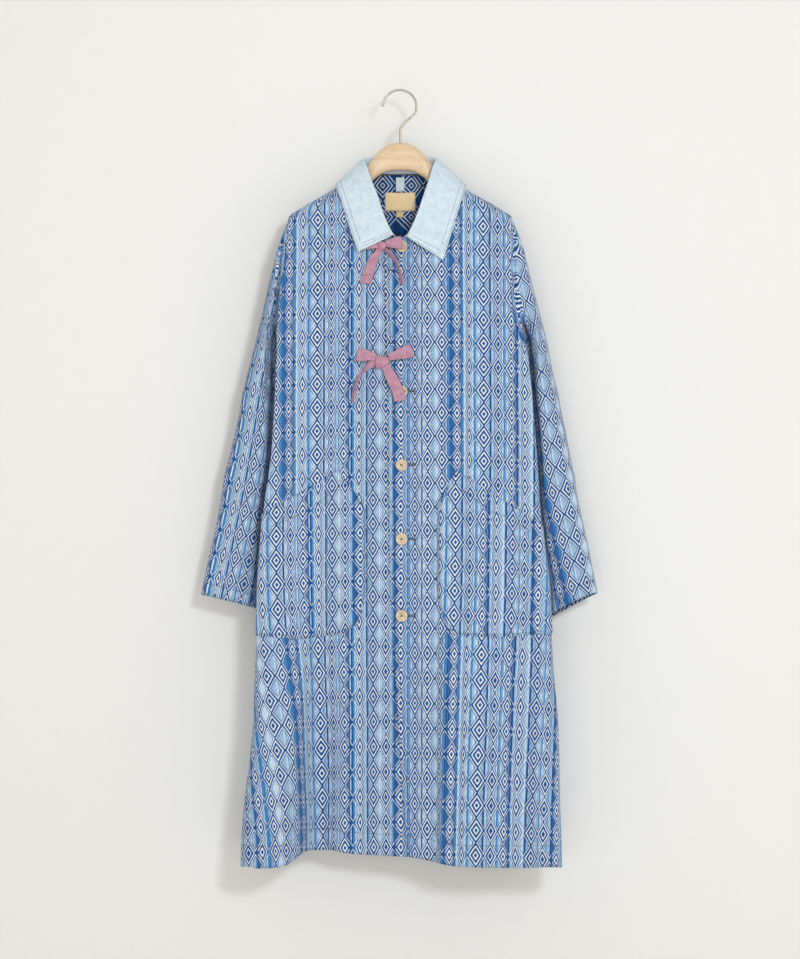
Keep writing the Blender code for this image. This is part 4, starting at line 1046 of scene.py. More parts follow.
# The figured weave: columns of nested diamonds between warp stripes, in metres
COLUMN = 0.0213        # from one column of diamonds to the next, on average
ROW_PERIOD = 0.037     # from one row of diamonds to the next
COLUMN_SWAY = ((0.0013, 0.067, 0.4), (0.0006, 0.041, 1.9))  # how the columns' widths vary
COLUMN_WANDER = 0.0016 # and how far they wander besides
THREAD_U = 0.0007      # what one step of a woven slant covers
THREAD_V = 0.0012
RELIEF_U = 0.0011      # from thread to thread in the relief
RELIEF_V = 0.0009
DARK = (4, 70, 134)
DEEP = (18, 56, 106)
WHITE = (248, 255, 255)
PALE = (194, 218, 236)
STEEL = (62, 130, 190)
GREY = (160, 188, 213)
# From where to where the rings of a figure run, out from its centre
BOLD_BANDS = ((0.19, 0.40), (0.64, 0.85))
FINE_BANDS = ((0.28, 0.46), (0.72, 0.92))
FAINT_BANDS = ((0.24, 0.52), (0.80, 1.04))
CHAIN_DOT = (0.20, 0.42)
CHAIN_BANDS = ((0.62, 0.80), (0.95, 1.08))
REVERSE_BANDS = ((0.12, 0.21), (0.42, 0.52), (0.70, 0.80), (1.04, 1.13))
WHITE_LINE = (1.07, 1.20)       # the two lines round every diamond
DARK_LINE = (1.22, 1.38)
DIAMOND_END = 1.10     # the ring up to which a figure reaches
DARK_BAND = (0.78, 1.06)        # the band down a chain: its half width, and the ring it starts from
CHAIN_WIDTH = 0.62     # half width of the chain's arcs
SLIM_SHARE = 1.5       # how much slimmer the faint figure is than a diamond
SLIM_END = 1.22
STRIPE_FROM = 0.70     # the stripe lies beyond this share of a half column
STRIPE_GAPS = 0.40     # the higher, the more it is broken up
WARP_DARK, WARP_LIGHT = 0.43, 0.54      # warp threads of the ground that are dark, and light
WARP_EDGE = 0.05       # how softly threads, rings and the chart's fields end
RING_EDGE = 0.06
CHART_EDGE = 0.01
# Half columns across one repeat, left and right of each column's centre: the figure, then
# the ground beside it, then the stripe that parts it from the next column
BOLD, FINE_RINGS, FAINT, CHAIN = 1.0, 0.67, 0.33, 0.0
FINE_END, FAINT_END, CHAIN_END = 0.82, 0.5, 0.16        # each below the next figure's value
HALF_COLUMNS = (
    (BOLD, GREY, STEEL), (BOLD, GREY, PALE), (FINE_RINGS, PALE, DARK), (BOLD, GREY, GREY),
    (BOLD, GREY, PALE), (BOLD, STEEL, STEEL), (CHAIN, STEEL, DARK), (CHAIN, GREY, STEEL),
    (FAINT, GREY, PALE), (FAINT, PALE, STEEL), (BOLD, PALE, GREY), (BOLD, GREY, DARK),
    (FINE_RINGS, GREY, PALE), (FINE_RINGS, GREY, STEEL), (BOLD, GREY, STEEL), (CHAIN, GREY, DARK),
    (FAINT, GREY, STEEL), (FAINT, GREY, PALE), (BOLD, GREY, DARK), (BOLD, PALE, GREY),
    (FINE_RINGS, PALE, STEEL), (FINE_RINGS, GREY, GREY), (CHAIN, STEEL, DARK), (FAINT, GREY, STEEL),
)


def weave_fields(n, wide=1.0, tall=1.0):
    """Places in the weave: u and v, both in whole threads, the column, how far from a
    diamond's centre across and along, and the sum of the two, which is its ring."""
    u, v = n.uv()
    moved = u
    for amount, length, start in COLUMN_SWAY:
        turn = n.plus(n.times(u, 2 * math.pi / length), start)
        moved = n.plus(moved, n.times(n.math("SINE", turn), amount))
    wander = n.noise(n.join(u, n.times(v, 0.4)), 26.0, 2.0)
    moved = n.plus(moved, n.times(n.minus(wander, 0.5), COLUMN_WANDER))
    uq, vq = n.steps(moved, THREAD_U), n.steps(v, THREAD_V)
    column = n.math("DIVIDE", uq, COLUMN * wide)
    a = n.from_middle(column)
    b = n.from_middle(n.math("DIVIDE", vq, ROW_PERIOD * tall))
    return u, v, uq, vq, column, a, b, n.plus(a, b)


def slubs(n, u, v, across=900.0, along=60.0):
    """Thick and thin threads, long one way."""
    return n.noise(n.join(n.times(u, across), n.times(v, along)), 1.0, 3.0, 0.6)


def chart(n, turn, field):
    """One of the chart's values, half column by half column."""
    return n.ramp(turn, [(i / len(HALF_COLUMNS), row[field]) for i, row in enumerate(HALF_COLUMNS)],
                  "CONSTANT")


def coat_face():
    """Right side of the coat cloth."""
    n = Nodes("coat_cloth_face")
    u, v, uq, vq, column, a, b, ring = weave_fields(n)
    turn = n.math("FRACT", n.math("DIVIDE", column, len(HALF_COLUMNS) / 2))
    figure, ground, stripe = (chart(n, turn, field) for field in range(3))
    # warp threads of the grounds, and the stripe between two columns
    fine = n.noise(uq, 430.0, 3.0, 0.7, "1D")
    wide = n.noise(uq, 150.0, 1.0, 0.5, "1D")
    pale = n.mix(n.times(n.above(fine, WARP_LIGHT, WARP_EDGE), 0.8), ground, colour(WHITE))
    pale = n.mix(n.times(n.band(fine, -0.1, WARP_DARK, WARP_EDGE), 0.75), pale, colour(STEEL))
    stripes = n.times(n.above(a, STRIPE_FROM, WARP_EDGE), n.above(wide, STRIPE_GAPS, WARP_EDGE))
    pale = n.mix(stripes, pale, stripe)
    # bold and fine rings of the nested diamonds
    bold = n.above(figure, FINE_END, CHART_EDGE)
    fine_rings = n.band(figure, FAINT_END, FINE_END, CHART_EDGE)
    rings = n.plus(n.times(n.bands(ring, BOLD_BANDS, RING_EDGE), bold),
                   n.times(n.bands(ring, FINE_BANDS, RING_EDGE), fine_rings))
    full = n.mix(rings, colour(DARK), colour(WHITE))
    # dots, arcs and chevrons down a dark band
    narrow = n.band(a, -0.1, CHAIN_WIDTH, 0.08)
    dots = n.math("MAXIMUM", n.band(ring, *CHAIN_DOT, RING_EDGE),
                  n.times(narrow, n.bands(ring, CHAIN_BANDS, RING_EDGE)))
    chain = n.mix(dots, colour(DARK), colour(WHITE))
    # a narrow figure between the warp stripes
    slim = n.plus(n.times(a, SLIM_SHARE), b)
    faint = n.mix(n.band(slim, -0.1, SLIM_END, RING_EDGE), pale, colour(DARK))
    faint = n.mix(n.bands(slim, FAINT_BANDS, 0.08), faint, colour(WHITE))
    inside = n.mix(n.above(figure, CHAIN_END, CHART_EDGE), chain, faint)
    inside = n.mix(n.above(figure, FAINT_END, CHART_EDGE), inside, full)
    cloth = n.mix(n.above(ring, DIAMOND_END, WARP_EDGE), inside, pale)
    # two lines round it, weaker beside the narrow figure
    lattice = n.minus(1.0, n.times(n.band(figure, CHAIN_END, FAINT_END, CHART_EDGE), 0.3))
    white_line = n.times(n.band(ring, *WHITE_LINE, WARP_EDGE), 0.9)
    dark_line = n.times(n.band(ring, *DARK_LINE, WARP_EDGE), 0.85)
    cloth = n.mix(n.times(white_line, lattice), cloth, colour(WHITE))
    cloth = n.mix(n.times(dark_line, lattice), cloth, colour(DARK))
    # a dark band runs on between its dots
    width, start = DARK_BAND
    solid = n.times(n.band(figure, -1.0, CHAIN_END, CHART_EDGE), n.band(a, -0.1, width, WARP_EDGE))
    solid = n.times(solid, n.above(ring, start, 0.03))
    cloth = n.mix(n.times(solid, 0.8), cloth, colour(DARK))
    # slubs, single threads and faded bands
    slub = slubs(n, u, v)
    cloth = n.mix(n.times(n.above(slub, 0.55, 0.15), 0.35), cloth, colour(STEEL))
    single = n.white(n.math("DIVIDE", uq, THREAD_U), n.math("DIVIDE", vq, THREAD_V))
    cloth = n.mix(n.times(n.above(single, 0.80, 0.1), 0.4), cloth, colour(STEEL))
    tone = n.noise(u, 30.0, 1.0, 0.5, "1D")
    cloth = n.mix(n.times(n.above(tone, 0.50, 0.1), 0.14), cloth, colour(DARK))
    thread = n.times(n.wave(u, RELIEF_U), n.wave(v, RELIEF_V))
    height = n.plus(n.times(thread, 0.5), n.plus(rings, slub))
    soft_cloth(n, 0.05)
    rough = n.plus(n.times(slub, 0.15), 0.78)
    return n.finish(cloth, rough, height, 0.3, 0.0006)


def coat_reverse():
    """Wrong side of the coat cloth: deep indigo with thin pale diamonds."""
    n = Nodes("coat_cloth_reverse")
    u, v, uq, *_, ring = weave_fields(n, 2.0, 1.35)
    lines = n.bands(ring, REVERSE_BANDS, 0.03)
    slub = slubs(n, u, v)
    tone = n.noise(uq, 120.0, 1.0, 0.5, "1D")
    ground = n.mix(n.above(tone, 0.5, 0.05), colour(DEEP), colour(DARK))
    cloth = n.mix(n.times(lines, 0.85), ground, colour(WHITE))
    cloth = n.mix(n.times(n.above(slub, 0.58, 0.1), 0.3), cloth, colour(STEEL))
    soft_cloth(n, 0.05)
    return n.finish(cloth, n.plus(n.times(slub, 0.15), 0.8),
                    n.plus(lines, slub), 0.3, 0.0006)


def plain_weave(name, light, shade, pitch, sheen=0.15, strength=0.3):
    """A plain-woven cloth of two thread colours."""
    n = Nodes(name)
    u, v = n.uv()
    over = n.plus(n.times(n.times(n.wave(u, pitch), n.wave(v, pitch)), 0.5), 0.5)
    slub_v, slub_u = slubs(n, u, v, 1500.0, 70.0), slubs(n, u, v, 70.0, 1500.0)
    broad = n.noise(n.join(u, v), 70.0, 4.0, 0.6)
    share = n.plus(n.times(over, 0.25), n.above(slub_u, 0.42, 0.25), clamp=True)
    share = n.times(n.plus(share, n.above(slub_v, 0.42, 0.25)), 0.5, clamp=True)
    base = n.mix(share, colour(light), colour(shade))
    base = n.mix(n.times(n.above(broad, 0.45, 0.25), 0.5), base, colour(shade))
    soft_cloth(n, sheen)
    height = n.plus(n.times(over, 0.6), slub_v)
    return n.finish(base, n.plus(n.times(slub_v, 0.2), 0.7), height, strength, 0.0005)


def horn_material():
    """Cream horn with a cloudy grain, lightly polished."""
    n = Nodes("cream_horn")
    place = n.place()
    cloud = n.noise(place, 260.0, 4.0, 0.55)
    streak = n.noise(n.join(n.times(cloud, 3.0), cloud, cloud), 3.0, 2.0)
    base = n.ramp(cloud, [(0.25, (176, 150, 112)), (0.5, (213, 193, 155)), (0.75, (236, 222, 192))])
    base = n.mix(n.times(n.band(streak, 0.55, 2.0, 0.1), 0.35), base, colour((186, 152, 112)))
    n.lacquer(0.25)
    return n.finish(base, n.plus(n.times(cloud, 0.2), 0.25), cloud, 0.15, 0.0004)


def wood_material():
    """Beech with long grain and small flecks, under a satin lacquer."""
    n = Nodes("beech_wood")
    place = n.place()
    grain = n.stretched(place, 7.0, 90.0, 4.0, 0.55)
    fine = n.stretched(place, 40.0, 900.0, 3.0, 0.6)
    fleck = n.stretched(place, 260.0, 1400.0, 1.0)
    base = n.ramp(grain, [(0.25, (214, 184, 144)), (0.48, (229, 204, 168)), (0.58, (222, 192, 152)),
                          (0.8, (236, 214, 182))])
    base = n.mix(n.times(n.band(fine, 0.56, 2.0, 0.08), 0.3), base, colour((206, 168, 124)))
    base = n.mix(n.times(n.band(fleck, 0.66, 2.0, 0.03), 0.5), base, colour((176, 130, 88)))
    n.lacquer(0.3)
    return n.finish(base, n.plus(n.times(fine, 0.25), 0.32), fine, 0.12, 0.0005)


def steel_material():
    """Bent wire with fine lengthwise brushing."""
    n = Nodes("brushed_nickel")
    place = n.place()
    fine = n.noise(place, 900.0, 3.0, 0.6)
    broad = n.noise(place, 60.0, 2.0)
    base = n.mix(broad, colour((196, 188, 176)), colour((150, 142, 130)))
    n.shader.inputs["Metallic"].default_value = 1.0
    return n.finish(base, n.plus(n.times(fine, 0.3), 0.16), fine, 0.1, 0.0002)


def thread_material(name, light, dark):
    """Sewing thread of two twisted plies."""
    n = Nodes(name)
    ply = n.noise(n.place(), 1400.0, 2.0)
    base = n.mix(ply, colour(light), colour(dark))
    soft_cloth(n, 0.2)
    return n.finish(base, n.plus(n.times(ply, 0.2), 0.6), ply, 0.4, 0.0003)


# Coat panels
V_LEVELS = table("level period", (-1210, 38.9), (-900, 38.9), (-600, 36.6), (-120, 36.2))
V_RANGE = (-1230, 40)
V_STEP = 2.0
ROW_DROOP = 7          # the rows hang this much lower at the coat's sides
DROOP_AT = 200
# What each piece's pattern is moved by, across and along
PATTERN_SHIFT = {
    "front_right": (0.5000, 0.0000), "front_left": (0.5000, 0.0100), "back": (0.9000, 0.0050),
    "sleeve_right": (0.2780, 0.0040), "sleeve_left": (0.3900, 0.0120),
}
POCKET_SHIFT = {"pocket_right": (0.0620, 0.0130), "pocket_left": (0.0430, 0.0170)}

# Which panels have their rows and columns the other way round, and which sides are sewn
FLIPS = {"front_right": True, "front_left": False, "back": True,
         "sleeve_right": True, "sleeve_left": False}
SEWN = {"front_right": ("right", "top"), "front_left": ("right", "top"),
        "back": ("left", "right", "top"), "sleeve_right": ("top",), "sleeve_left": ("top",)}

ARMHOLE_BLEND = 14     # rows in which a sleeve takes up the exact armhole
CLEFT_INSIDE = 0.5     # where the turning back starts, from the body's edge outwards
CLEFT_WIDTH = 10.0
CLEFT_SHARE = 0.9
SLIT_CLOSED = 12       # below the armpit the sleeve's back half reaches this much further in
SLIT_WIDTH = 26
SLIT_DEPTH = 4         # behind the middle of the sleeve
SLIT_LEVEL = -392
SLIT_BLEND = 3         # rows of the sleeve in which that sets in
SLIT_REACH = 66

# Long waves of a piece: seed, length and height; creases and waves fade out towards its edges
WAVES = {"front_right": (1.0, 130, 0.55), "front_left": (2.0, 130, 0.55), "back": (3.0, 130, 0.55),
         "sleeve_right": (1, 95, 0.5), "sleeve_left": (3, 95, 0.5)}
FADE_STEPS = 10
FRONT_FADE_STEPS = 8   # towards the front edge
SLEEVE_SHIFT = 4       # a sleeve's creases lie this far off their table, each sleeve its own way

HEM_LIFT = 6           # the back's hem is drawn this much higher where the front's is highest
HEM_LIFT_AT = -118
HEM_LIFT_REACH = 80
HEM_LIFT_HEIGHT = 60
HEM_FADE = 5           # the turned hem's thickness sets in over this height


def cloth_v(z):
    """Length along the weave at a level, in metres, where rows grow wider towards the hem."""
    steps = np.arange(*V_RANGE, V_STEP)
    rows = np.concatenate([[0], np.cumsum(V_STEP / read(V_LEVELS, "period", steps + V_STEP / 2)[:-1])])
    return np.interp(z, steps, rows) * ROW_PERIOD


def panel_uv(seen, real, shift):
    """u from the centre line across the cloth, v up it, with the piece's own shift."""
    across = arc(real * (1, 1, 0), 1)
    sign = 1 if real[0, 0, 0] < real[0, -1, 0] else -1
    centre = np.array([np.interp(0, row[::sign], length[::sign])
                       for row, length in zip(real[:, :, 0], across)])
    start = np.where(real[:, 0, 0] * sign > 0, real[:, 0, 0], 0)
    u = sign * (across - centre[:, None]) + start[:, None]
    droop = ROW_DROOP * (seen[:, :, 0] / DROOP_AT) ** 2
    return np.stack([u * MM + shift[0], cloth_v(seen[:, :, 2] + droop) + shift[1]], axis=2)


def body_grids(mesh):
    """The three body panels as seen from the front, in the rows and columns of a mesh."""
    grids = {"front_right": front_grid(-1, mesh), "front_left": front_grid(1, mesh)}
    grids["back"] = back_grid(grids["front_right"], grids["front_left"], mesh)
    return grids


def coarse_grids():
    """Real grids of the five panels as the solids have them, each with its wrap and flip."""
    rough = body_grids(COARSE)
    for name, measures, side, end, drop in (("sleeve_right", SLEEVE_RIGHT, -1, 0, 0),
                                            ("sleeve_left", SLEEVE_LEFT, 1, -1, LEFT_CUFF_DROP)):
        front = rough[name.replace("sleeve", "front")]
        rough[name] = sleeve_grid(measures, side, front[:, -1], rough["back"][:, end], drop)
    return {name: (from_sight(grid), name.startswith("sleeve"), FLIPS[name])
            for name, grid in rough.items()}


def meet_armhole(sleeve, side_edge, back_edge, from_top):
    """Bring a finely drawn sleeve to the finely drawn edges of the body at its armhole."""
    hole = np.concatenate([side_edge, back_edge[::-1][1:-1]])
    count = sleeve.shape[1]
    share = np.arange(count) / count * len(hole)
    index = np.arange(len(hole) + 1)
    closed = np.concatenate([hole, hole[:1]])
    wanted = np.stack([np.interp(share, index, closed[:, k]) for k in range(3)], axis=1)
    sleeve += (wanted - sleeve[-1])[None] * (1 - ease(from_top / ARMHOLE_BLEND))[:, None, None]


def build_panels():
    """Finely drawn grids of the five panels as seen and in real places, and the body to rest on."""
    coarse = coarse_grids()
    body = tree_of(*[coarse[name] for name in BODY_PANELS])
    seen = body_grids(FINE)
    real = {name: from_sight(grid) for name, grid in seen.items()}
    for name, end in (("sleeve_right", 0), ("sleeve_left", -1)):
        grid = coarse[name][0]
        for ring, along in zip(grid[::-1][1:], SLEEVE_RINGS):
            if along >= SLEEVE_FREE:
                rest_on(ring, body, SLEEVE_EASE)
        fine = refined(grid, SLEEVE_TIMES, True)
        from_top = np.arange(len(fine))[::-1]
        side_edge = real[name.replace("sleeve", "front")][:, -1]
        meet_armhole(fine, side_edge[FINE["lower"]:], real["back"][FINE["lower"]:, end], from_top)
        turn_back(fine, side_edge, from_top)
        real[name] = seen[name] = fine
    return seen, real, body


def turn_back(sleeve, side_edge, from_top):
    """The front of a sleeve rounds back just outside the body's edge, which leaves a dark cleft."""
    order = np.argsort(side_edge[:, 2])
    edge = np.interp(sleeve[:, :, 2], side_edge[order, 2], np.abs(side_edge[order, 0]))
    out = np.abs(sleeve[:, :, 0]) - edge
    middle = sleeve[:, :, 1].mean(axis=1, keepdims=True)
    share = (1 - ease((out - CLEFT_INSIDE) / CLEFT_WIDTH)) * ease(from_top / ARMHOLE_BLEND)[:, None]
    depth = np.clip(middle - sleeve[:, :, 1], 0, None)
    sleeve[:, :, 1] += depth * share * CLEFT_SHARE
    near = (1 - ease(out / SLIT_WIDTH)) * hump((sleeve[:, :, 2] - SLIT_LEVEL) / SLIT_REACH)
    near = near * ease((sleeve[:, :, 1] - middle) / SLIT_DEPTH) * ease(from_top / SLIT_BLEND)[:, None]
    sleeve[:, :, 0] -= np.sign(sleeve[:, :, 0]) * SLIT_CLOSED * near


def round_sleeve(step):
    """Length round each ring from its outer line, front positive, for the steps between points."""
    total = np.cumsum(np.linalg.norm(step, axis=2), axis=1)
    total = np.concatenate([np.zeros((len(step), 1)), total[:, :-1]], axis=1)
    return total[:, step.shape[1] // 2, None] - total


def sleeve_places(real):
    """Across from the outer line, front positive, and down from the armhole, in mm."""
    half = real.shape[1] // 2
    down = arc(real[::-1, half:half + 1], 0)[::-1]
    across = round_sleeve(np.roll(real, -1, axis=1) - real)
    return across, down * np.ones((1, real.shape[1]))


def sleeve_uv(real, shift):
    """u round a sleeve from its outer line and v up its grain, true on slanted rings too."""
    half = real.shape[1] // 2
    grain = (real[-1, half] - real[0, half]) * (1, 0, 1)
    grain /= np.linalg.norm(grain)
    inward = np.array((grain[2], 0, -grain[0])) * -np.sign(real[0, half, 0])
    step = np.roll(real, -1, axis=1) - real
    step -= (step @ grain)[:, :, None] * grain
    u = round_sleeve(step) + (real[:, half] @ inward)[:, None]
    return np.stack([u * MM + shift[0], real @ grain * MM + shift[1]], axis=2)


def creased(name, seen, real, normals):
    """Real points of a panel with its creases pressed in."""
    from_top = np.arange(len(real))[::-1][:, None]
    fade = ease(from_top / FADE_STEPS)
    if name.startswith("sleeve"):
        across, along = sleeve_places(real)
        shift = -SLEEVE_SHIFT if name == "sleeve_right" else SLEEVE_SHIFT
        field = crease_field(SLEEVE_CREASES, across + shift, along)
    else:
        across, along = seen[:, :, 0], seen[:, :, 2]
        field = crease_field(BACK_CREASES if name == "back" else FRONT_CREASES, across, along)
        columns = np.arange(real.shape[1])
        outer = np.minimum(columns, columns[::-1]) if name == "back" else columns[::-1]
        fade = fade * ease(outer / FADE_STEPS)[None]
        if name != "back":
            fade = fade * ease((columns + 1) / FRONT_FADE_STEPS)[None]
    field += soft_waves(across, along, *WAVES[name])
    return real + normals * (field * fade)[:, :, None]


def build_coat(materials):
    """Shells of the five panels; gives what the other pieces rest on."""
    seen, real, body = build_panels()
    made, places = {}, {}
    for name in ("back", "front_right", "front_left", "sleeve_right", "sleeve_left"):
        wrap = name.startswith("sleeve")
        normals = grid_normals(real[name], wrap, FLIPS[name])
        points = creased(name, seen[name], real[name], normals)
        normals = grid_normals(points, wrap, FLIPS[name])
        points = sink_seams(points, normals, SEWN[name])
        if name == "back":
            near_hem = 1 - ease(arc(points, 0) / HEM_LIFT_HEIGHT)
            points[:, :, 2] += HEM_LIFT * near_hem * hump((points[:, :, 0] - HEM_LIFT_AT) / HEM_LIFT_REACH)
        thick = CLOTH + ease((HEM_HEIGHT - arc(points, 0)) / HEM_FADE) * HEM_EXTRA
        inner = points - normals * thick[:, :, None]
        if wrap:
            uv = sleeve_uv(real[name], PATTERN_SHIFT[name])
        else:
            uv = panel_uv(seen[name], real[name], PATTERN_SHIFT[name])
        made[name] = shell(name + "_cloth", points, inner, uv, wrap, FLIPS[name], materials)
        places[name] = {"outer": points, "inner": inner, "normals": normals, "uv": uv}
    return body, made, places


# Finding what is seen at a place
RAY_START = -400       # before everything
SIGHT_DEPTH = -50.0    # the first guess of where a sight line meets the cloth
SIGHT_TRIES = 3


def from_front(tree, x, z):
    """Point and normal where a level line from the front meets a surface first."""
    return tree.ray_cast(Vector((x, RAY_START, z)), Vector((0, 1, 0)))[:2]


def seen_on(tree, x, z):
    """Real point and normal where a sight line meets a surface."""
    y = SIGHT_DEPTH
    for _ in range(SIGHT_TRIES):
        point = from_sight((x, y, z))
        hit, face = from_front(tree, point[0], point[2])
        if hit is None:
            return None, None
        y = hit.y
    normal = np.array(face)
    return np.array(hit), -normal if normal[1] > 0 else normal


def run_on(tree, path, step=4.0):
    """Points and normals on a surface along a seen polyline of x, z."""
    path = np.asarray(path, float)
    length = lengths_along(path)
    at = np.arange(0, length[-1] + step / 2, step)
    found = [seen_on(tree, *(np.interp(s, length, path[:, k]) for k in range(2))) for s in at]
    found = [pair for pair in found if pair[0] is not None]
    return np.array([place for place, _ in found]), np.array([normal for _, normal in found])


# Stitching
STITCH = 2.9           # visible length of a stitch
STITCH_GAP = 0.7
STITCH_RADIUS = 0.42
STITCH_SIDES = 5
STITCH_END = (-0.1, 0.55)       # lift and width at a stitch's ends
STITCH_MIDDLE = (0.28, 1.0)
TINY = 1e-9
PHOTO_CENTRE = 400     # the photo's column above the hook
PHOTO_TOP = 91         # its row at the top of the hook's inside
PHOTO_SCALE = 1.55     # millimetres to a pixel in the hanger's plane


def stitches(name, runs, finish, size=1.0, length=STITCH, gap=STITCH_GAP):
    """Short threads lying in the cloth along runs of surface points and normals."""
    points, faces = [], []
    tube = capped(3, STITCH_SIDES, False)
    for places, normals in runs:
        if len(places) < 2:
            continue
        steps = lengths_along(places)
        for s in np.arange(gap, steps[-1] - length, length + gap):
            spots = [np.interp((s, s + length / 2, s + length), steps, places[:, k]) for k in range(3)]
            a, m, b = np.array(spots).T
            normal = np.array([np.interp(s + length / 2, steps, normals[:, k]) for k in range(3)])
            normal /= max(np.linalg.norm(normal), TINY)
            side = np.cross(normal, b - a)
            side /= max(np.linalg.norm(side), TINY)
            faces += [tuple(len(points) + i for i in face) for face in tube]
            for centre, (lift, wide) in ((a, STITCH_END), (m, STITCH_MIDDLE), (b, STITCH_END)):
                for k in range(STITCH_SIDES):
                    t = 2 * math.pi * k / STITCH_SIDES
                    points.append(centre + normal * size * (lift + STITCH_RADIUS * wide * math.cos(t))
                                  + side * size * STITCH_RADIUS * wide * math.sin(t))
    return add_object(name, mesh_from(name, points, faces, None, [finish]))


def px(*points):
    """Seen places in millimetres of photo places counted in pixels."""
    return [((x - PHOTO_CENTRE) * PHOTO_SCALE, (PHOTO_TOP - y) * PHOTO_SCALE) for x, y in points]


def level_line(place, height):
    """Points and normals of a panel at a height above its hem."""
    outer, normals = place["outer"], place["normals"]
    heights = arc(outer, 0)
    points, ways = [], []
    for j in range(outer.shape[1]):
        i = int(np.searchsorted(heights[:, j], height))
        t = (height - heights[i - 1, j]) / (heights[i, j] - heights[i - 1, j])
        points.append(outer[i - 1, j] * (1 - t) + outer[i, j] * t)
        ways.append(normals[i, j])
    return np.array(points), np.array(ways)


# Pockets
PATCH_MARGIN = 12      # faces up to this far beyond a patch's outline are looked at
WELD = 1e-4            # degenerate edges up to this many metres go


def inside_outline(work, outline):
    """Cut a mesh down to what lies inside a convex outline of x, z in millimetres."""
    centre = np.mean(outline, axis=0)
    for a, b in zip(outline, outline[1:] + outline[:1]):
        out = np.array((b[1] - a[1], a[0] - b[0]), float)
        if np.dot(out, np.subtract(a, centre)) < 0:
            out = -out
        geometry = work.verts[:] + work.edges[:] + work.faces[:]
        bmesh.ops.bisect_plane(work, geom=geometry, clear_outer=True, dist=1e-6,
                               plane_co=(a[0] * MM, 0, a[1] * MM), plane_no=(out[0], 0, out[1]))
    loose = [v for v in work.verts if not v.link_faces]
    bmesh.ops.delete(work, geom=loose, context="VERTS")


def patch(name, grid, uv, flip, outline, lift, thickness, materials, rim=0.9):
    """A piece sewn flat on a panel, cut from the panel's own face and moved out."""
    rows, columns = grid.shape[:2]
    work = bmesh.new()
    layer = work.loops.layers.uv.new("cloth")
    vertices = [work.verts.new(Vector(p) * MM) for p in grid.reshape(-1, 3)]
    flat = uv.reshape(-1, 2)
    low = np.min(outline, axis=0) - PATCH_MARGIN
    high = np.max(outline, axis=0) + PATCH_MARGIN
    for face in quads(rows, columns, False, 0, flip):
        corner = grid.reshape(-1, 3)[face[0]]
        if low[0] < corner[0] < high[0] and low[1] < corner[2] < high[1]:
            made = work.faces.new([vertices[i] for i in face])
            for loop, i in zip(made.loops, face):
                loop[layer].uv = flat[i]
    inside_outline(work, outline)
    bmesh.ops.dissolve_degenerate(work, dist=WELD, edges=work.edges[:])
    work.normal_update()
    edge = {v for e in work.edges if e.is_boundary for v in e.verts}
    for vertex in work.verts:
        amount = lift + (thickness if vertex not in edge else thickness * rim)
        vertex.co += vertex.normal * amount * MM
    mesh = bpy.data.meshes.new(name)
    work.to_mesh(mesh)
    work.free()
    for finish in materials:
        mesh.materials.append(finish)
    mesh.shade_smooth()
    made = add_object(name, mesh)
    wall = made.modifiers.new("Wall", "SOLIDIFY")
    wall.thickness = thickness * MM
    wall.offset = -1
    wall.material_offset = 1
    wall.material_offset_rim = 0
    return made


# Collar
COLLAR_TIMES = (6, 4)
PUCKER = {"length": 7.5, "sway": 1.3, "sway_length": 31, "from_edge": 5, "width": 4, "height": 0.28}
SAG = {"length": 46, "start": 0.7, "from_edge": 12, "from_seam": 30, "height": 0.7}
EDGE_ROUNDING = (0.5, 1.2)      # how much thinner the very edge is, and how far in
COLLAR_STITCHES = (2.6, 9.2)    # of two rows, from the collar's edge
COLLAR_STITCH_START = 16        # from the neck seam


def collar_grid(surface):
    """The collar's middle surface, drawn finely: stations round the neck, rows over the roll."""
    halves = []
    grids = body_grids(COARSE)
    for side, measures, panel in ((-1, COLLAR_RIGHT, "front_right"), (1, COLLAR_LEFT, "front_left")):
        front = grids[panel][-1, :len(NECK_SHARES)] * (side, 1, 1)
        back = grids["back"][-1] * (side, 1, 1)
        back = back[np.argsort(back[:, 0])]
        back = back[(back[:, 0] >= 0) & (back[:, 0] <= NECK_SIDE[0] + 0.01)]
        neckline = {"front": front, "back": back}
        halves.append([collar_station(measures, side, along, neckline)
                       for along in np.linspace(0, 1, COLLAR_STATIONS)])
    grid = from_sight(np.array(halves[0] + halves[1][-2::-1]))
    for row in range(-COLLAR_FALL_ROWS + 1, 0):
        points = grid[:, row].copy()
        rest_on(points, surface, COLLAR_CLOTH / 2 + COLLAR_EASE)
        grid[:, row] = points
    return refined(grid, COLLAR_TIMES, False)


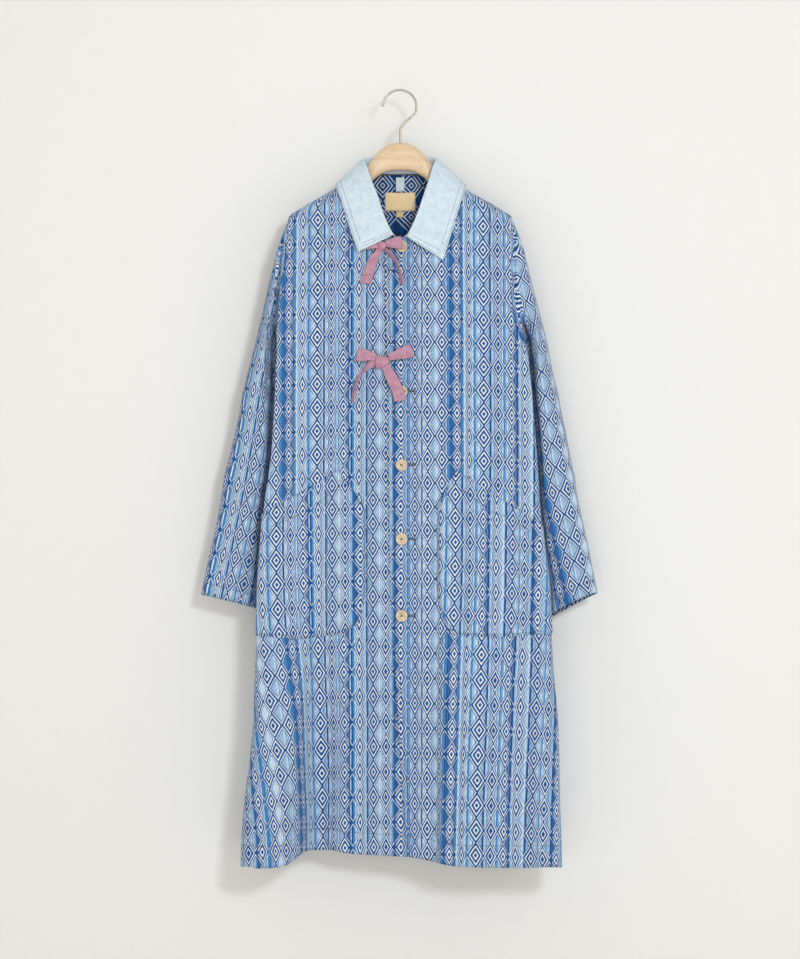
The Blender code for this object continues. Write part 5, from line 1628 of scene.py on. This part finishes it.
def build_collar(surface, materials, thread):
    """Collar shell with its two rows of stitching."""
    grid = collar_grid(surface)
    stations, rows = grid.shape[:2]
    normals = grid_normals(grid, False, False)
    if normals[stations // 4, -2, 1] > 0:       # on the fall at the front, out is away from the wearer
        normals = -normals
    round_neck = arc(grid, 0)
    u = round_neck[:, rows // 2:rows // 2 + 1] * np.ones((1, rows))
    v = arc(grid, 1)
    from_edge = v[:, -1:] - v
    pucker = np.sin(u / PUCKER["length"] + PUCKER["sway"] * np.sin(u / PUCKER["sway_length"]))
    pucker = pucker * hump((from_edge - PUCKER["from_edge"]) / PUCKER["width"]) * PUCKER["height"]
    sag = np.sin(u / SAG["length"] + SAG["start"]) * SAG["height"]
    sag = sag * ease(from_edge / SAG["from_edge"]) * ease(v / SAG["from_seam"])
    thinner, reach = EDGE_ROUNDING
    middle = grid + normals * (pucker + sag)[:, :, None]
    half = (COLLAR_CLOTH / 2 - thinner * hump(from_edge / reach))[:, :, None]
    outer = middle + normals * half
    inner = middle - normals * half
    uv = np.stack([u, v], axis=2) * MM
    piece = shell("collar_cloth", outer, inner, uv, False, not faces_out(outer, normals), materials)
    runs = []
    for inset in COLLAR_STITCHES:
        path, ways = [], []
        for i in range(stations):
            if min(u[i, -1], u[-1, -1] - u[i, -1]) < inset:
                continue
            distance = from_edge[i]
            j = int(np.clip(np.searchsorted(-distance, -inset), 1, rows - 1))
            t = (distance[j - 1] - inset) / max(distance[j - 1] - distance[j], TINY)
            path.append(outer[i, j - 1] * (1 - t) + outer[i, j] * t)
            ways.append(normals[i, j])
        runs.append((np.array(path), np.array(ways)))
    for i, step in ((0, 1), (stations - 1, -1)):
        for inset in COLLAR_STITCHES:
            far = np.abs(round_neck[:, -1] - round_neck[i, -1])[::step] > inset
            k = i + step * int(np.argmax(far))
            keep = slice(int(np.searchsorted(v[i], COLLAR_STITCH_START)), rows - 3)
            runs.append((outer[k, keep], normals[k, keep]))
    return piece, stitches("collar_stitching", runs, thread, size=0.85, length=2.6, gap=0.5)


def faces_out(grid, normals):
    """True where quads in grid order already face along the normals."""
    i, j = grid.shape[0] // 4, grid.shape[1] // 2
    way = np.cross(grid[i, j + 1] - grid[i, j], grid[i + 1, j] - grid[i, j])
    return float(np.dot(way, normals[i, j])) > 0


# Tapes
TAPE_COLUMNS = 11
TAPE_STEPS = 44
TAPE_END_ROW = 10      # row of the tape that its end is sewn along, from the end
TAPE_PLEATS = 2.5      # half waves across a gathered tape
TAPE_WAVE = (9, 0.35)  # slow roll of a tape's edges: turns along it, and height
TAPE_EDGE = (0.93, 0.06)        # where the firm edge lies across half the tape, and its width
TAPE_FIRM = 0.22       # it is thicker by this share of the cloth
LOOP_SEED = 0.7        # tells one loop's or tail's waves from the next
TAIL_SEED = 1.3
TAPE_REACH = 2.5       # how far the loops and tails run on into the knot, and the tails up
TAIL_RISE = 4
KNOT_SLANT = 0.22      # rise of the wrap across the knot, and how much lower it ends
KNOT_TAPER = 0.30
KNOT_ROWS = 40
KNOT_COLUMNS = 26
KNOT_SQUARE = 0.75     # the lower, the squarer the knot's section
KNOT_END = 0.06        # share of its girth that is left at its ends
KNOT_FOLD = (0.35, 0.09, 0.11)  # the groove between the two turns: place, width and depth
KNOT_WAVES = (0.05, 0.035)      # its unevenness along and around


def unit(ways):
    """Directions of length 1."""
    ways = np.asarray(ways, float)
    return ways / np.linalg.norm(ways, axis=1, keepdims=True)


def tape(name, path, ways, width, thickness, finish, cup=0.0, pleat=0.0, seed=0.0):
    """A woven tape along a smooth path, gathered where it is narrow, with firm edges."""
    width = np.broadcast_to(np.asarray(width, float), (len(path),))
    given = np.stack([np.asarray(path, float), unit(ways), np.stack([width] * 3, axis=1)], axis=1)
    knots = refined(given, (6, 1), False)
    fine = np.linspace(0, 1, TAPE_STEPS)
    at = np.linspace(0, 1, len(knots))
    centre, way, wide = (np.stack([np.interp(fine, at, knots[:, k, c]) for c in range(3)], axis=1)
                         for k in range(3))
    way, wide = unit(way), wide[:, 0]
    normal = unit(np.cross(way, unit(np.gradient(centre, axis=0))))
    across = np.linspace(-1, 1, TAPE_COLUMNS)
    gathered = np.clip((TAPE_WIDTH - wide) / TAPE_WIDTH, 0, 1)
    ripple = np.cos(across[None] * math.pi * TAPE_PLEATS + seed) * gathered[:, None] * pleat
    bowl = (1 - across[None] ** 2) * cup * np.sin(np.pi * fine)[:, None]
    turns, height = TAPE_WAVE
    wave = np.sin(fine * turns + seed)[:, None] * height * across[None]
    lift = ripple + bowl + wave * ease(fine * 4)[:, None]
    grid = from_sight(centre[:, None] + way[:, None] * (across[None, :, None] * wide[:, None, None] / 2)
                      + normal[:, None] * lift[:, :, None])
    normals = grid_normals(grid, False, False)
    edge = 0.5 + TAPE_FIRM * hump((np.abs(across) - TAPE_EDGE[0]) / TAPE_EDGE[1])
    half = (thickness * edge)[None, :, None] * 0.9
    outer = grid + normals * half
    inner = grid - normals * half
    u = np.broadcast_to(across * TAPE_WIDTH / 2, grid.shape[:2])
    v = np.broadcast_to(arc(grid, 0)[:, TAPE_COLUMNS // 2:TAPE_COLUMNS // 2 + 1], grid.shape[:2])
    uv = np.stack([u + 20 * seed, v], axis=2) * MM
    piece = shell(name, outer, inner, uv, False, not faces_out(outer, normals), [finish, finish])
    return piece, outer, normals


def towards(place, target, distance):
    """A place moved across towards another."""
    place = np.array(place, float)
    place[0] += np.sign(target[0] - place[0]) * distance
    return tuple(place)


def build_bow(name, bow, finish, thread):
    """A tied tape: wrapped knot, two loops and two tails."""
    made = {f"{name}_knot": build_knot(f"{name}_knot", bow["knot"], bow["knot_size"], finish)}
    for part, loop in bow["loops"].items():
        root = towards(loop["root"], bow["knot"], TAPE_REACH)
        path = wrap_loop(root, loop["tip"], loop["gap"], LOOP_POINTS)
        out = np.sin(np.pi * np.linspace(0, 1, LOOP_POINTS)) ** LOOP_ROUND
        width = loop["pinch"] + (LOOP_WIDTH - loop["pinch"]) * ease(out * LOOP_FLARE)
        way = np.outer(np.ones(LOOP_POINTS), loop["way"])
        made[f"{name}_loop_{part}"] = tape(f"{name}_loop_{part}_tape", path, way, width, TAPE_CLOTH,
                                           finish, pleat=0.5, seed=len(part) * LOOP_SEED)[0]
    ends = []
    for part, tail in bow["tails"].items():
        x, y, z = towards(tail["path"][0], bow["knot"], TAPE_REACH)
        path = rounded(((x, y, z + TAIL_RISE),) + tail["path"][1:], TAIL_POINTS)
        way = rounded(tail["ways"], TAIL_POINTS)
        flare = ease(np.linspace(0, TAIL_FLARE, TAIL_POINTS))
        width = tail["pinch"] + (TAPE_WIDTH - tail["pinch"]) * flare
        piece, outer, normals = tape(f"{name}_tail_{part}_tape", path, way, width, TAPE_CLOTH,
                                     finish, cup=0.25, pleat=0.6, seed=len(part) * TAIL_SEED)
        made[f"{name}_tail_{part}"] = piece
        if normals[-4, TAPE_COLUMNS // 2, 1] > 0:
            outer = outer - normals * TAPE_CLOTH
            normals = -normals
        ends.append((outer[-TAPE_END_ROW, 1:-1], normals[-TAPE_END_ROW, 1:-1]))
    return made, stitches(f"{name}_end_stitching", ends, thread, size=0.8, length=2.4, gap=0.3)


def build_knot(name, centre, size, finish):
    """A knot: the tape wrapped twice over the gathered middle, with soft folds."""
    centre = np.array(from_sight(centre))
    half = np.array(size, float) / 2
    rows, columns = KNOT_ROWS, KNOT_COLUMNS
    groove, wide, groove_depth = KNOT_FOLD
    around = np.linspace(0, 2 * math.pi, rows, endpoint=False)
    front, up = (np.sign(share) * np.abs(share) ** KNOT_SQUARE
                 for share in (np.cos(around), np.sin(around)))
    grid = np.zeros((columns, rows, 3))
    for k, s in enumerate(np.linspace(-1, 1, columns)):
        barrel = math.sqrt(max(1 - abs(s) ** 4, 0.0)) * (1 - KNOT_END) + KNOT_END
        fold = 1 + KNOT_WAVES[0] * math.cos(s * 9 + 1)
        fold -= groove_depth * math.exp(-((s - groove) / wide) ** 2)
        ripple = (1 + KNOT_WAVES[1] * np.sin(around * 5 + s * 3)) * barrel * fold
        grid[k, :, 0] = centre[0] + s * half[0] + 0.5 * np.sin(around * 2 + 1) * (1 - s * s)
        grid[k, :, 1] = centre[1] + front * half[1] * ripple
        grid[k, :, 2] = centre[2] + up * half[2] * ripple * (1 - KNOT_TAPER * s) + KNOT_SLANT * s * half[2]
    faces = capped(columns, rows, True)
    uv = np.stack([grid[:, :, 0], np.cumsum(np.ones((columns, rows)), axis=1) * 0.9], axis=2) * MM
    mesh = mesh_from(name + "_wrap", grid.reshape(-1, 3), faces, uv.reshape(-1, 2), [finish])
    return add_object(name + "_wrap", mesh)


# Buttons
BUTTON_X = 2.5
BUTTON_DEPTH = -60     # taken for where a button is seen
BUTTON_LEVELS = (-237.5, -465, -579.5, -694.5, -813.8)
BUTTON_RADIUS = 9
BUTTON_THICK = 3.4
BUTTON_SEAT = 0.35
BUTTON_PROFILE = (     # radius share, height share, from the centre of the face round to the back
    (0, 0.46), (0.20, 0.46), (0.40, 0.47), (0.52, 0.52), (0.62, 0.72), (0.70, 0.93), (0.78, 1.0),
    (0.88, 0.97), (0.95, 0.86), (0.99, 0.70), (1.0, 0.55), (0.98, 0.38), (0.93, 0.20), (0.85, 0.08),
    (0.75, 0), (0, 0),
)
BUTTON_STEPS = 48
HOLE_OUT = 1.44        # a hole from the button's middle, both across and up, and its radius
HOLE_RADIUS = 0.85
HOLE_STEPS = 12
SATIN_GAP = 0.62       # between the close stitches of a buttonhole or a tack
SEAT_STEPS = 12        # places on the button's rim where it may rest on the cloth
THREAD_APART = 0.25    # two strands lie side by side, and rise a little in their middle
THREAD_RISE = 0.2


def turned_button(name, x, rest, z, finish):
    """The button's turned body, its face to the front."""
    rings = BUTTON_PROFILE[1:-1]
    points = [(x + radius * BUTTON_RADIUS * math.cos(a), rest - height * BUTTON_THICK,
               z + radius * BUTTON_RADIUS * math.sin(a))
              for radius, height in rings for a in circle(BUTTON_STEPS)]
    faces = quads(len(rings), BUTTON_STEPS, True, 0, False)
    front = len(points)
    points += [(x, rest - BUTTON_PROFILE[0][1] * BUTTON_THICK, z), (x, rest, z)]
    last = (len(rings) - 1) * BUTTON_STEPS
    for k in range(BUTTON_STEPS):
        after = (k + 1) % BUTTON_STEPS
        faces += [(front, after, k), (front + 1, last + k, last + after)]
    return add_object(name, mesh_from(name, points, faces, None, [finish]))


def build_button(number, level, tree, finish, thread):
    """A four-hole turned button with its sewing thread."""
    x, _, z = from_sight((BUTTON_X, BUTTON_DEPTH, level))
    spots = [(0, 0)] + [(BUTTON_RADIUS * math.cos(a), BUTTON_RADIUS * math.sin(a))
                        for a in circle(SEAT_STEPS)]
    hits = [from_front(tree, x + dx, z + dz)[0] for dx, dz in spots]
    rest = min([0] + [hit.y for hit in hits if hit is not None]) - BUTTON_SEAT
    name = f"button_{number}"
    made = turned_button(name + "_turned", x, rest, z, finish)
    work = bmesh.new()
    for sx in (-1, 1):
        for sz in (-1, 1):
            front, back = ([work.verts.new(Vector((x + HOLE_OUT * sx + HOLE_RADIUS * math.cos(a), depth,
                                                   z + HOLE_OUT * sz + HOLE_RADIUS * math.sin(a))) * MM)
                            for a in circle(HOLE_STEPS)]
                           for depth in (rest - BUTTON_THICK * 2, rest + BUTTON_THICK))
            for k in range(HOLE_STEPS):
                after = (k + 1) % HOLE_STEPS
                work.faces.new((front[k], front[after], back[after], back[k]))
            work.faces.new(front[::-1])
            work.faces.new(back)
    bmesh.ops.recalc_face_normals(work, faces=work.faces)
    cut_away(made, work, name + "_holes")
    runs = []
    y = rest - BUTTON_PROFILE[0][1] * BUTTON_THICK
    for rise in (1, -1):
        a, b = (np.array((x + HOLE_OUT * way, y, z + HOLE_OUT * way * rise)) for way in (-1, 1))
        for aside in (-THREAD_APART, THREAD_APART):
            strand = [a + (aside, 0, 0), (a + b) / 2 + (aside, -THREAD_RISE, 0), b + (aside, 0, 0)]
            runs.append((np.array(strand), np.array([(0, -1, 0)] * 3, float)))
    return made, stitches(name + "_thread", runs, thread, size=0.8, length=3.6, gap=0.1)


def circle(steps):
    """Angles all round."""
    return np.linspace(0, 2 * math.pi, steps, endpoint=False)


def cut_away(made, work, name, place=(0, 0, 0)):
    """Take a closed shape out of a piece."""
    mesh = bpy.data.meshes.new(name)
    work.to_mesh(mesh)
    work.free()
    cutter = add_object(name, mesh)
    cutter.location = Vector(place) * MM
    step = made.modifiers.new("Cut", "BOOLEAN")
    step.operation = "DIFFERENCE"
    step.object = cutter
    step.solver = "EXACT"
    apply_modifiers(made)
    bpy.data.objects.remove(cutter, do_unlink=True)


def apply_modifiers(made):
    """Bake an object's modifiers into its mesh."""
    graph = bpy.context.evaluated_depsgraph_get()
    mesh = bpy.data.meshes.new_from_object(made.evaluated_get(graph))
    made.modifiers.clear()
    made.data = mesh
    mesh.shade_smooth()


def satin_bar(tree, start, end, width):
    """Close parallel stitches, as of a bar tack or one side of a buttonhole."""
    (x0, z0), (x1, z1) = start, end
    length = math.hypot(x1 - x0, z1 - z0)
    ux, uz = (x1 - x0) / length, (z1 - z0) / length
    runs = []
    for s in np.arange(0, length, SATIN_GAP):
        cx, cz = x0 + ux * s, z0 + uz * s
        ends = [seen_on(tree, cx - uz * w, cz + ux * w) for w in (-width / 2, 0, width / 2)]
        if all(place is not None for place, _ in ends):
            runs.append((np.array([place for place, _ in ends]), np.array([way for _, way in ends])))
    return runs


# Inside the neck
# Boxes as left, right, low and high
LABEL_BOX = (-23, 23.8, -186.3, -157.8)
LABEL_CLOTH = 0.7
TAB_BOX = (-6, 5.2, -196, -187)
TAB_CLOTH = 0.5
LABEL_LIFT = 0.5
HANGING_LOOP = {"x": 0.2, "lift": 2.5, "width": 13, "cloth": 1.2}
HANGING_LOOP_PATH = (
    (1.2, -134), (1.2, -144), (1, -152), (0, -155.4), (-1, -152), (-1.2, -144), (-1.2, -134),
)


def build_neck(places, satin, pale_satin, chambray):
    """Label, size tab and hanging loop on the inside of the back neck."""
    made = {}
    inner, uv = places["back"]["inner"], places["back"]["uv"]
    for name, box, thickness, finish in (("neck_label", LABEL_BOX, LABEL_CLOTH, satin),
                                         ("size_tab", TAB_BOX, TAB_CLOTH, pale_satin)):
        left, right, low, high = box
        outline = [tuple(from_sight((x, NECK_BACK_DEPTH, z))[[0, 2]])
                   for x, z in ((left, low), (right, low), (right, high), (left, high))]
        made[name] = patch(name + "_ribbon", inner, uv, False, outline, LABEL_LIFT, thickness,
                           [finish, finish])
    depth = NECK_BACK_DEPTH - CLOTH - HANGING_LOOP["lift"]
    path = [(HANGING_LOOP["x"], depth + y, z) for y, z in HANGING_LOOP_PATH]
    made["hanging_loop"], _, _ = tape("hanging_loop_tape", path, [(1, 0, 0)] * len(path),
                                      HANGING_LOOP["width"], HANGING_LOOP["cloth"], chambray)
    return made


# Hanger
HANGER_STATIONS = 121
HANGER_CROWDING = 0.4  # the stations lie closer together at the middle
HANGER_HALF = 162
HANGER_SIDES = 36
WOOD_CORNER = 0.8
WIRE = 3.2
HOOK_RADIUS = 25.9
HOOK_CENTRE = (-0.4, -24.3)
HOOK_START = 176
SHANK_X = 0.5
HOOK_BEND = (
    (24.2, -32), (20.6, -37.4), (13.5, -43.6), (7.3, -49), (2.6, -55), (SHANK_X, -61), (SHANK_X, -74),
)
SHANK_SEAT = 12
SHANK_GAP = 0.3
HOOK_SIDES = 20
HOOK_STEPS = (60, 50)  # round the bow, and down the bend
BORE_SIDES = 24
WIRE_END = ((0.4, 0.97), (0.7, 0.86), (0.9, 0.62), (0.98, 0.3))  # its dome: radius and reach


def build_wood(finish):
    """Shaped wooden body, smoothly lofted, with the bore that the wire sits in."""
    share = np.sinh(np.linspace(-1, 1, HANGER_STATIONS) * HANGER_CROWDING) / math.sinh(HANGER_CROWDING)
    angles = circle(HANGER_SIDES)
    across, up = (np.sign(part) * np.abs(part) ** WOOD_CORNER for part in (np.cos(angles), np.sin(angles)))
    rings = []
    for x in share * HANGER_HALF:
        top, height, half = (float(read(WOOD, c, abs(x), key="out")) for c in ("top", "height", "half"))
        level = top + height / 2 * (up - 1)
        rings.append(np.stack([np.full(HANGER_SIDES, x), half * across, level], axis=1))
    faces = capped(HANGER_STATIONS, HANGER_SIDES, False)
    mesh = mesh_from("hanger_wood", np.concatenate(rings), faces, None, [finish])
    body = add_object("hanger_wood", mesh)
    work = bmesh.new()
    bore = (WIRE / 2 + SHANK_GAP) * MM
    bmesh.ops.create_cone(work, cap_ends=True, segments=BORE_SIDES, radius1=bore, radius2=bore,
                          depth=2 * SHANK_SEAT * MM)
    cut_away(body, work, "shank_bore", (SHANK_X, 0, float(WOOD["top"][0])))
    return body


def build_hook(finish):
    """The bent wire hook with its rounded end."""
    cx, cz = HOOK_CENTRE
    bow = [(cx + HOOK_RADIUS * math.cos(a), 0, cz + HOOK_RADIUS * math.sin(a))
           for a in np.radians(np.linspace(HOOK_START, 0, HOOK_STEPS[0]))]
    seat = float(WOOD["top"][0]) - SHANK_SEAT + SHANK_GAP
    bend = rounded([bow[-1]] + [(x, 0, z) for x, z in HOOK_BEND], HOOK_STEPS[1])
    route = np.array(bow + [tuple(p) for p in bend[1:]] + [(SHANK_X, 0, seat)])
    tangent = unit(np.gradient(route, axis=0))
    side = np.cross(tangent, (0, 1, 0))
    rings = [(route[0] - tangent[0] * back * WIRE / 2, side[0], share) for share, back in WIRE_END]
    rings += [(place, way, 1.0) for place, way in zip(route, side)]
    points = [centre + (way * math.cos(a) + np.array((0, 1, 0)) * math.sin(a)) * share * WIRE / 2
              for centre, way, share in rings for a in circle(HOOK_SIDES)]
    faces = capped(len(rings), HOOK_SIDES, True)
    return add_object("hook_wire", mesh_from("hook_wire", points, faces, None, [finish]))


# Room, camera and light
WALL_DEPTH = 78        # wall behind the hanger's plane
FLOOR_LEVEL = -1480
WALL_TONE = (238, 237, 234)
FLOOR_TONE = (236, 234, 230)
PLASTER_SHADE = 6      # its grain is this much darker
LENS = 78.73
SENSOR = 36
# Lights: place in metres, size, power and tint
LIGHTS = {
    "key": ((0.78, -3.2, 0.2), 0.45, 34, (0.88, 0.95, 1.0)),
    "fill": ((-0.15, -3.6, -1.15), 2.4, 38.5, (1.0, 0.975, 0.95)),
}
AMBIENT = (1.0, 0.97, 0.94, 1)
AMBIENT_STRENGTH = 0.59


def plane(name, corners, finish):
    """One flat face."""
    mesh = bpy.data.meshes.new(name)
    mesh.from_pydata(corners, [], [(0, 1, 2, 3)])
    mesh.materials.append(finish)
    return add_object(name, mesh)


def plaster(name, tone):
    """Matte wall paint with a faint grain."""
    n = Nodes(name)
    grain = n.noise(n.place(), 60.0, 4.0, 0.5)
    base = n.mix(n.times(grain, 0.3), colour(tone), colour(tuple(v - PLASTER_SHADE for v in tone)))
    return n.finish(base, 0.9, grain, 0.05, 0.001)


def build_room():
    """Pale floor, and a wall that only its front side shows."""
    wall_finish = plaster("wall_plaster", WALL_TONE)
    tree = wall_finish.node_tree
    output = next(node for node in tree.nodes if node.type == "OUTPUT_MATERIAL")
    clear = tree.nodes.new("ShaderNodeBsdfTransparent")
    facing = tree.nodes.new("ShaderNodeNewGeometry")
    chosen = tree.nodes.new("ShaderNodeMixShader")
    tree.links.new(facing.outputs["Backfacing"], chosen.inputs[0])
    tree.links.new(tree.nodes["Principled BSDF"].outputs[0], chosen.inputs[1])
    tree.links.new(clear.outputs[0], chosen.inputs[2])
    tree.links.new(chosen.outputs[0], output.inputs[0])
    y, z = WALL_DEPTH * MM, FLOOR_LEVEL * MM
    wall = plane("wall", [(-3, y, z), (3, y, z), (3, y, 2), (-3, y, 2)], wall_finish)
    floor = plane("floor", [(-4, -4, z), (4, -4, z), (4, 4, z), (-4, 4, z)],
                  plaster("floor_plaster", FLOOR_TONE))


def area_light(name, target, place, size, power, tint):
    """A round soft light, turned to its target."""
    light = bpy.data.lights.new(name, "AREA")
    light.shape = "DISK"
    light.size = size
    light.energy = power
    light.color = tint
    made = bpy.data.objects.new(name, light)
    bpy.context.scene.collection.objects.link(made)
    made.location = place
    made.rotation_euler = (Vector(target) - Vector(place)).to_track_quat("-Z", "Y").to_euler()


def build_camera_and_light():
    """Level camera in front of the coat, soft light from the upper right."""
    camera = bpy.data.cameras.new("camera")
    camera.lens = LENS
    camera.sensor_width = SENSOR
    made = bpy.data.objects.new("camera", camera)
    bpy.context.scene.collection.objects.link(made)
    made.location = (0, -EYE_DISTANCE * MM, EYE_LEVEL * MM)
    made.rotation_euler = (math.pi / 2, 0, 0)
    bpy.context.scene.camera = made
    for name, measures in LIGHTS.items():
        area_light(name, (0, 0, EYE_LEVEL * MM), *measures)
    bpy.context.scene.view_settings.view_transform = "Standard"
    world = bpy.data.worlds.new("studio")
    bpy.context.scene.world = world
    world.use_nodes = True
    background = world.node_tree.nodes["Background"]
    background.inputs["Color"].default_value = AMBIENT
    background.inputs["Strength"].default_value = AMBIENT_STRENGTH


# Rows of stitching, as columns and rows of photo pixels: round a pocket's sides and foot,
# down its slanted opening, and along the opening's hem
POCKET_STITCHING = {
    "pocket_right": (
        ((364.5, 509.5), (364.8, 590), (360.3, 609), (354.6, 623.4), (338.6, 632.3), (300, 636.4),
         (259, 633.4)),
        ((337.5, 472.5), (346, 482.8), (364.5, 509.5)),
        ((341, 485.5), (322.7, 499), (313, 505.5), (304.7, 511.6), (293.3, 517), (281, 522.3),
         (268, 527)),
    ),
    "pocket_left": (
        ((439.2, 508), (439.2, 590), (442.7, 609.4), (447.6, 624.6), (456, 633), (500, 634.8),
         (549, 631)),
        ((456.4, 473), (449.6, 484), (439.2, 508)),
        ((458.1, 489.3), (466.9, 492.5), (473.3, 498), (482.8, 504.4), (490.8, 510), (519.5, 524.4),
         (530.7, 531.6), (544, 538)),
    ),
}
CHEST_STITCHING = (
    ((391, 412), (437, 412), (444.3, 408.6), (449.4, 406), (453.9, 402.9), (458.3, 399.7)),
    ((459, 399), (459.5, 372), (459.5, 345)),
)
TACKS = (((388, 270), (394, 270)), ((388, 343), (396, 343)))
TACK_WIDTH = 2.4
HEM_STITCH_HEIGHT = 33
CUFF_STITCH_HEIGHT = 19
PLACKET_INSET = 4.6    # of the row of stitches along the front edge
HOLE_ENDS = (11.0, 24.5)       # a buttonhole's ends across the coat
HOLE_RISE = 0.5        # its middle above the button's, and its two satin sides off its middle
HOLE_SIDE = 1.2
HOLE_SIDE_WIDTH = 2.2

# What each cloth piece was cut to: width and length in metres
NECK_PIECES = {
    "neck_label": ("gold_satin", (0.047, 0.029)), "size_tab": ("pale_satin", (0.0114, 0.0105)),
    "hanging_loop": ("chambray", (0.013, 0.046)),
}


def stand_in(piece, slot, *nodes):
    """Put a piece on the body in place of its nodes; slot is not used."""
    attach(piece, BODY_NAME)
    if nodes:
        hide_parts(*nodes)
    return piece


def build_pockets(places, materials):
    """The two hip pockets, laid on the fronts."""
    made = {}
    for name, outline in (("pocket_right", POCKET_RIGHT), ("pocket_left", POCKET_LEFT)):
        panel = name.replace("pocket", "front")
        real = [tuple(from_sight((x, -front_depth(x, z), z))[[0, 2]]) for x, z in outline]
        uv = places[panel]["uv"] + np.array(POCKET_SHIFT[name])
        made[name] = patch(name + "_cloth", places[panel]["outer"], uv, FLIPS[panel], real,
                           POCKET_LIFT, POCKET_CLOTH, materials, POCKET_RIM)
    return made


def tree_of_pieces(*pieces):
    """Search tree over finished pieces, in millimetres."""
    points, faces = [], []
    graph = bpy.context.evaluated_depsgraph_get()
    for made in pieces:
        mesh = made.evaluated_get(graph).to_mesh()
        start = len(points)
        points += [v.co / MM for v in mesh.vertices]
        faces += [tuple(start + i for i in face.vertices) for face in mesh.polygons]
    return BVHTree.FromPolygons(points, faces)


def placket_line(place):
    """Points and normals of the upper front beside its front edge."""
    outer, normals = place["outer"], place["normals"]
    from_edge = arc(outer, 1)
    columns = [int(np.searchsorted(row, PLACKET_INSET)) for row in from_edge]
    rows = np.arange(len(outer))
    return outer[rows, columns], normals[rows, columns]


def build_stitching(places, panels, pockets, thread):
    """Rows of stitches: hems, cuffs, front edge, pockets, and the buttonholes with their tacks."""
    made = []
    for name in BODY_PANELS:
        line = level_line(places[name], HEM_STITCH_HEIGHT)
        made.append(stitches(name + "_hem_stitching", [line], thread))
    for name in ("sleeve_right", "sleeve_left"):
        line = level_line(places[name], CUFF_STITCH_HEIGHT)
        made.append(stitches(name + "_cuff_stitching", [line], thread))
    made.append(stitches("placket_stitching", [placket_line(places["front_left"])], thread))
    bpy.context.view_layer.update()
    dressed = tree_of_pieces(panels["front_right"], panels["front_left"], *pockets.values())
    for name, lines in POCKET_STITCHING.items():
        made.append(stitches(name + "_stitching", [run_on(dressed, px(*line)) for line in lines], thread))
    chest = [run_on(dressed, px(*line)) for line in CHEST_STITCHING]
    made.append(stitches("chest_pocket_stitching", chest, thread, size=0.9))
    bars = []
    for level in BUTTON_LEVELS[1:]:
        for side in (-HOLE_SIDE, HOLE_SIDE):
            start, end = ((x, level + HOLE_RISE + side) for x in HOLE_ENDS)
            bars += satin_bar(dressed, start, end, HOLE_SIDE_WIDTH)
    for ends in TACKS:
        bars += satin_bar(dressed, *px(*ends), TACK_WIDTH)
    made.append(stitches("buttonholes", bars, thread, size=0.75, length=1.9, gap=0.1))
    return made


coat_materials = [coat_face(), coat_reverse()]
chambray = plain_weave("pale_chambray", (232, 241, 245), (172, 200, 217), 0.0011)
# Painted shade: a darker chambray for the collar's underside and the stand's inner face, standing in for
# the shade that falls there
chambray_painted_shade = plain_weave("chambray_painted_shade", (150, 164, 178), (120, 136, 152), 0.0011)
mauve = plain_weave("mauve_tape_weave", (210, 163, 181), (158, 108, 131), 0.0010, 0.2, 0.5)
gold = plain_weave("gold_satin_ribbon", (255, 234, 188), (240, 208, 154), 0.0006, 0.05, 0.15)
pale_satin = plain_weave("pale_satin_ribbon", (244, 214, 164), (226, 188, 130), 0.0006, 0.05, 0.15)
horn = horn_material()
beech = wood_material()
nickel = steel_material()
brown_thread = thread_material("brown_thread", (80, 62, 74), (44, 36, 50))
collar_thread = thread_material("collar_thread", (112, 138, 164), (78, 104, 134))
mauve_thread = thread_material("mauve_thread", (120, 92, 112), (92, 70, 90))

body_surface, panels, places = build_coat(coat_materials)
for name, piece in panels.items():
    stand_in(piece, "coat_cloth", name)
pockets = build_pockets(places, coat_materials)
for name, piece in pockets.items():
    stand_in(piece, "coat_cloth", name)

# The collar's underside takes the darker chambray, which is painted shade
collar, collar_seams = build_collar(body_surface, [chambray, chambray_painted_shade], collar_thread)
stand_in(collar, "chambray", "collar")
stand_in(collar_seams, "chambray")

fronts = tree_of(*[(places[name]["outer"], False, FLIPS[name]) for name in BODY_PANELS[:2]])
for number, level in enumerate(BUTTON_LEVELS, start=1):
    button, sewn = build_button(number, level, fronts, horn, brown_thread)
    stand_in(button, "horn", f"button_{number}")
    stand_in(sewn, "horn")

for name, bow in (("upper_bow", UPPER_BOW), ("lower_bow", LOWER_BOW)):
    parts, seams = build_bow(name, bow, mauve, mauve_thread)
    for node, piece in parts.items():
        stand_in(piece, "mauve_tape", node)
    stand_in(seams, "mauve_tape")

neck = build_neck(places, gold, pale_satin, chambray)
for node, (slot, _) in NECK_PIECES.items():
    stand_in(neck[node], slot, node)
stand_in(build_wood(beech), "beech", "hanger")
stand_in(build_hook(nickel), "steel", "hook")
for seam in build_stitching(places, panels, pockets, brown_thread):
    stand_in(seam, "coat_cloth")

build_room()
build_camera_and_light()
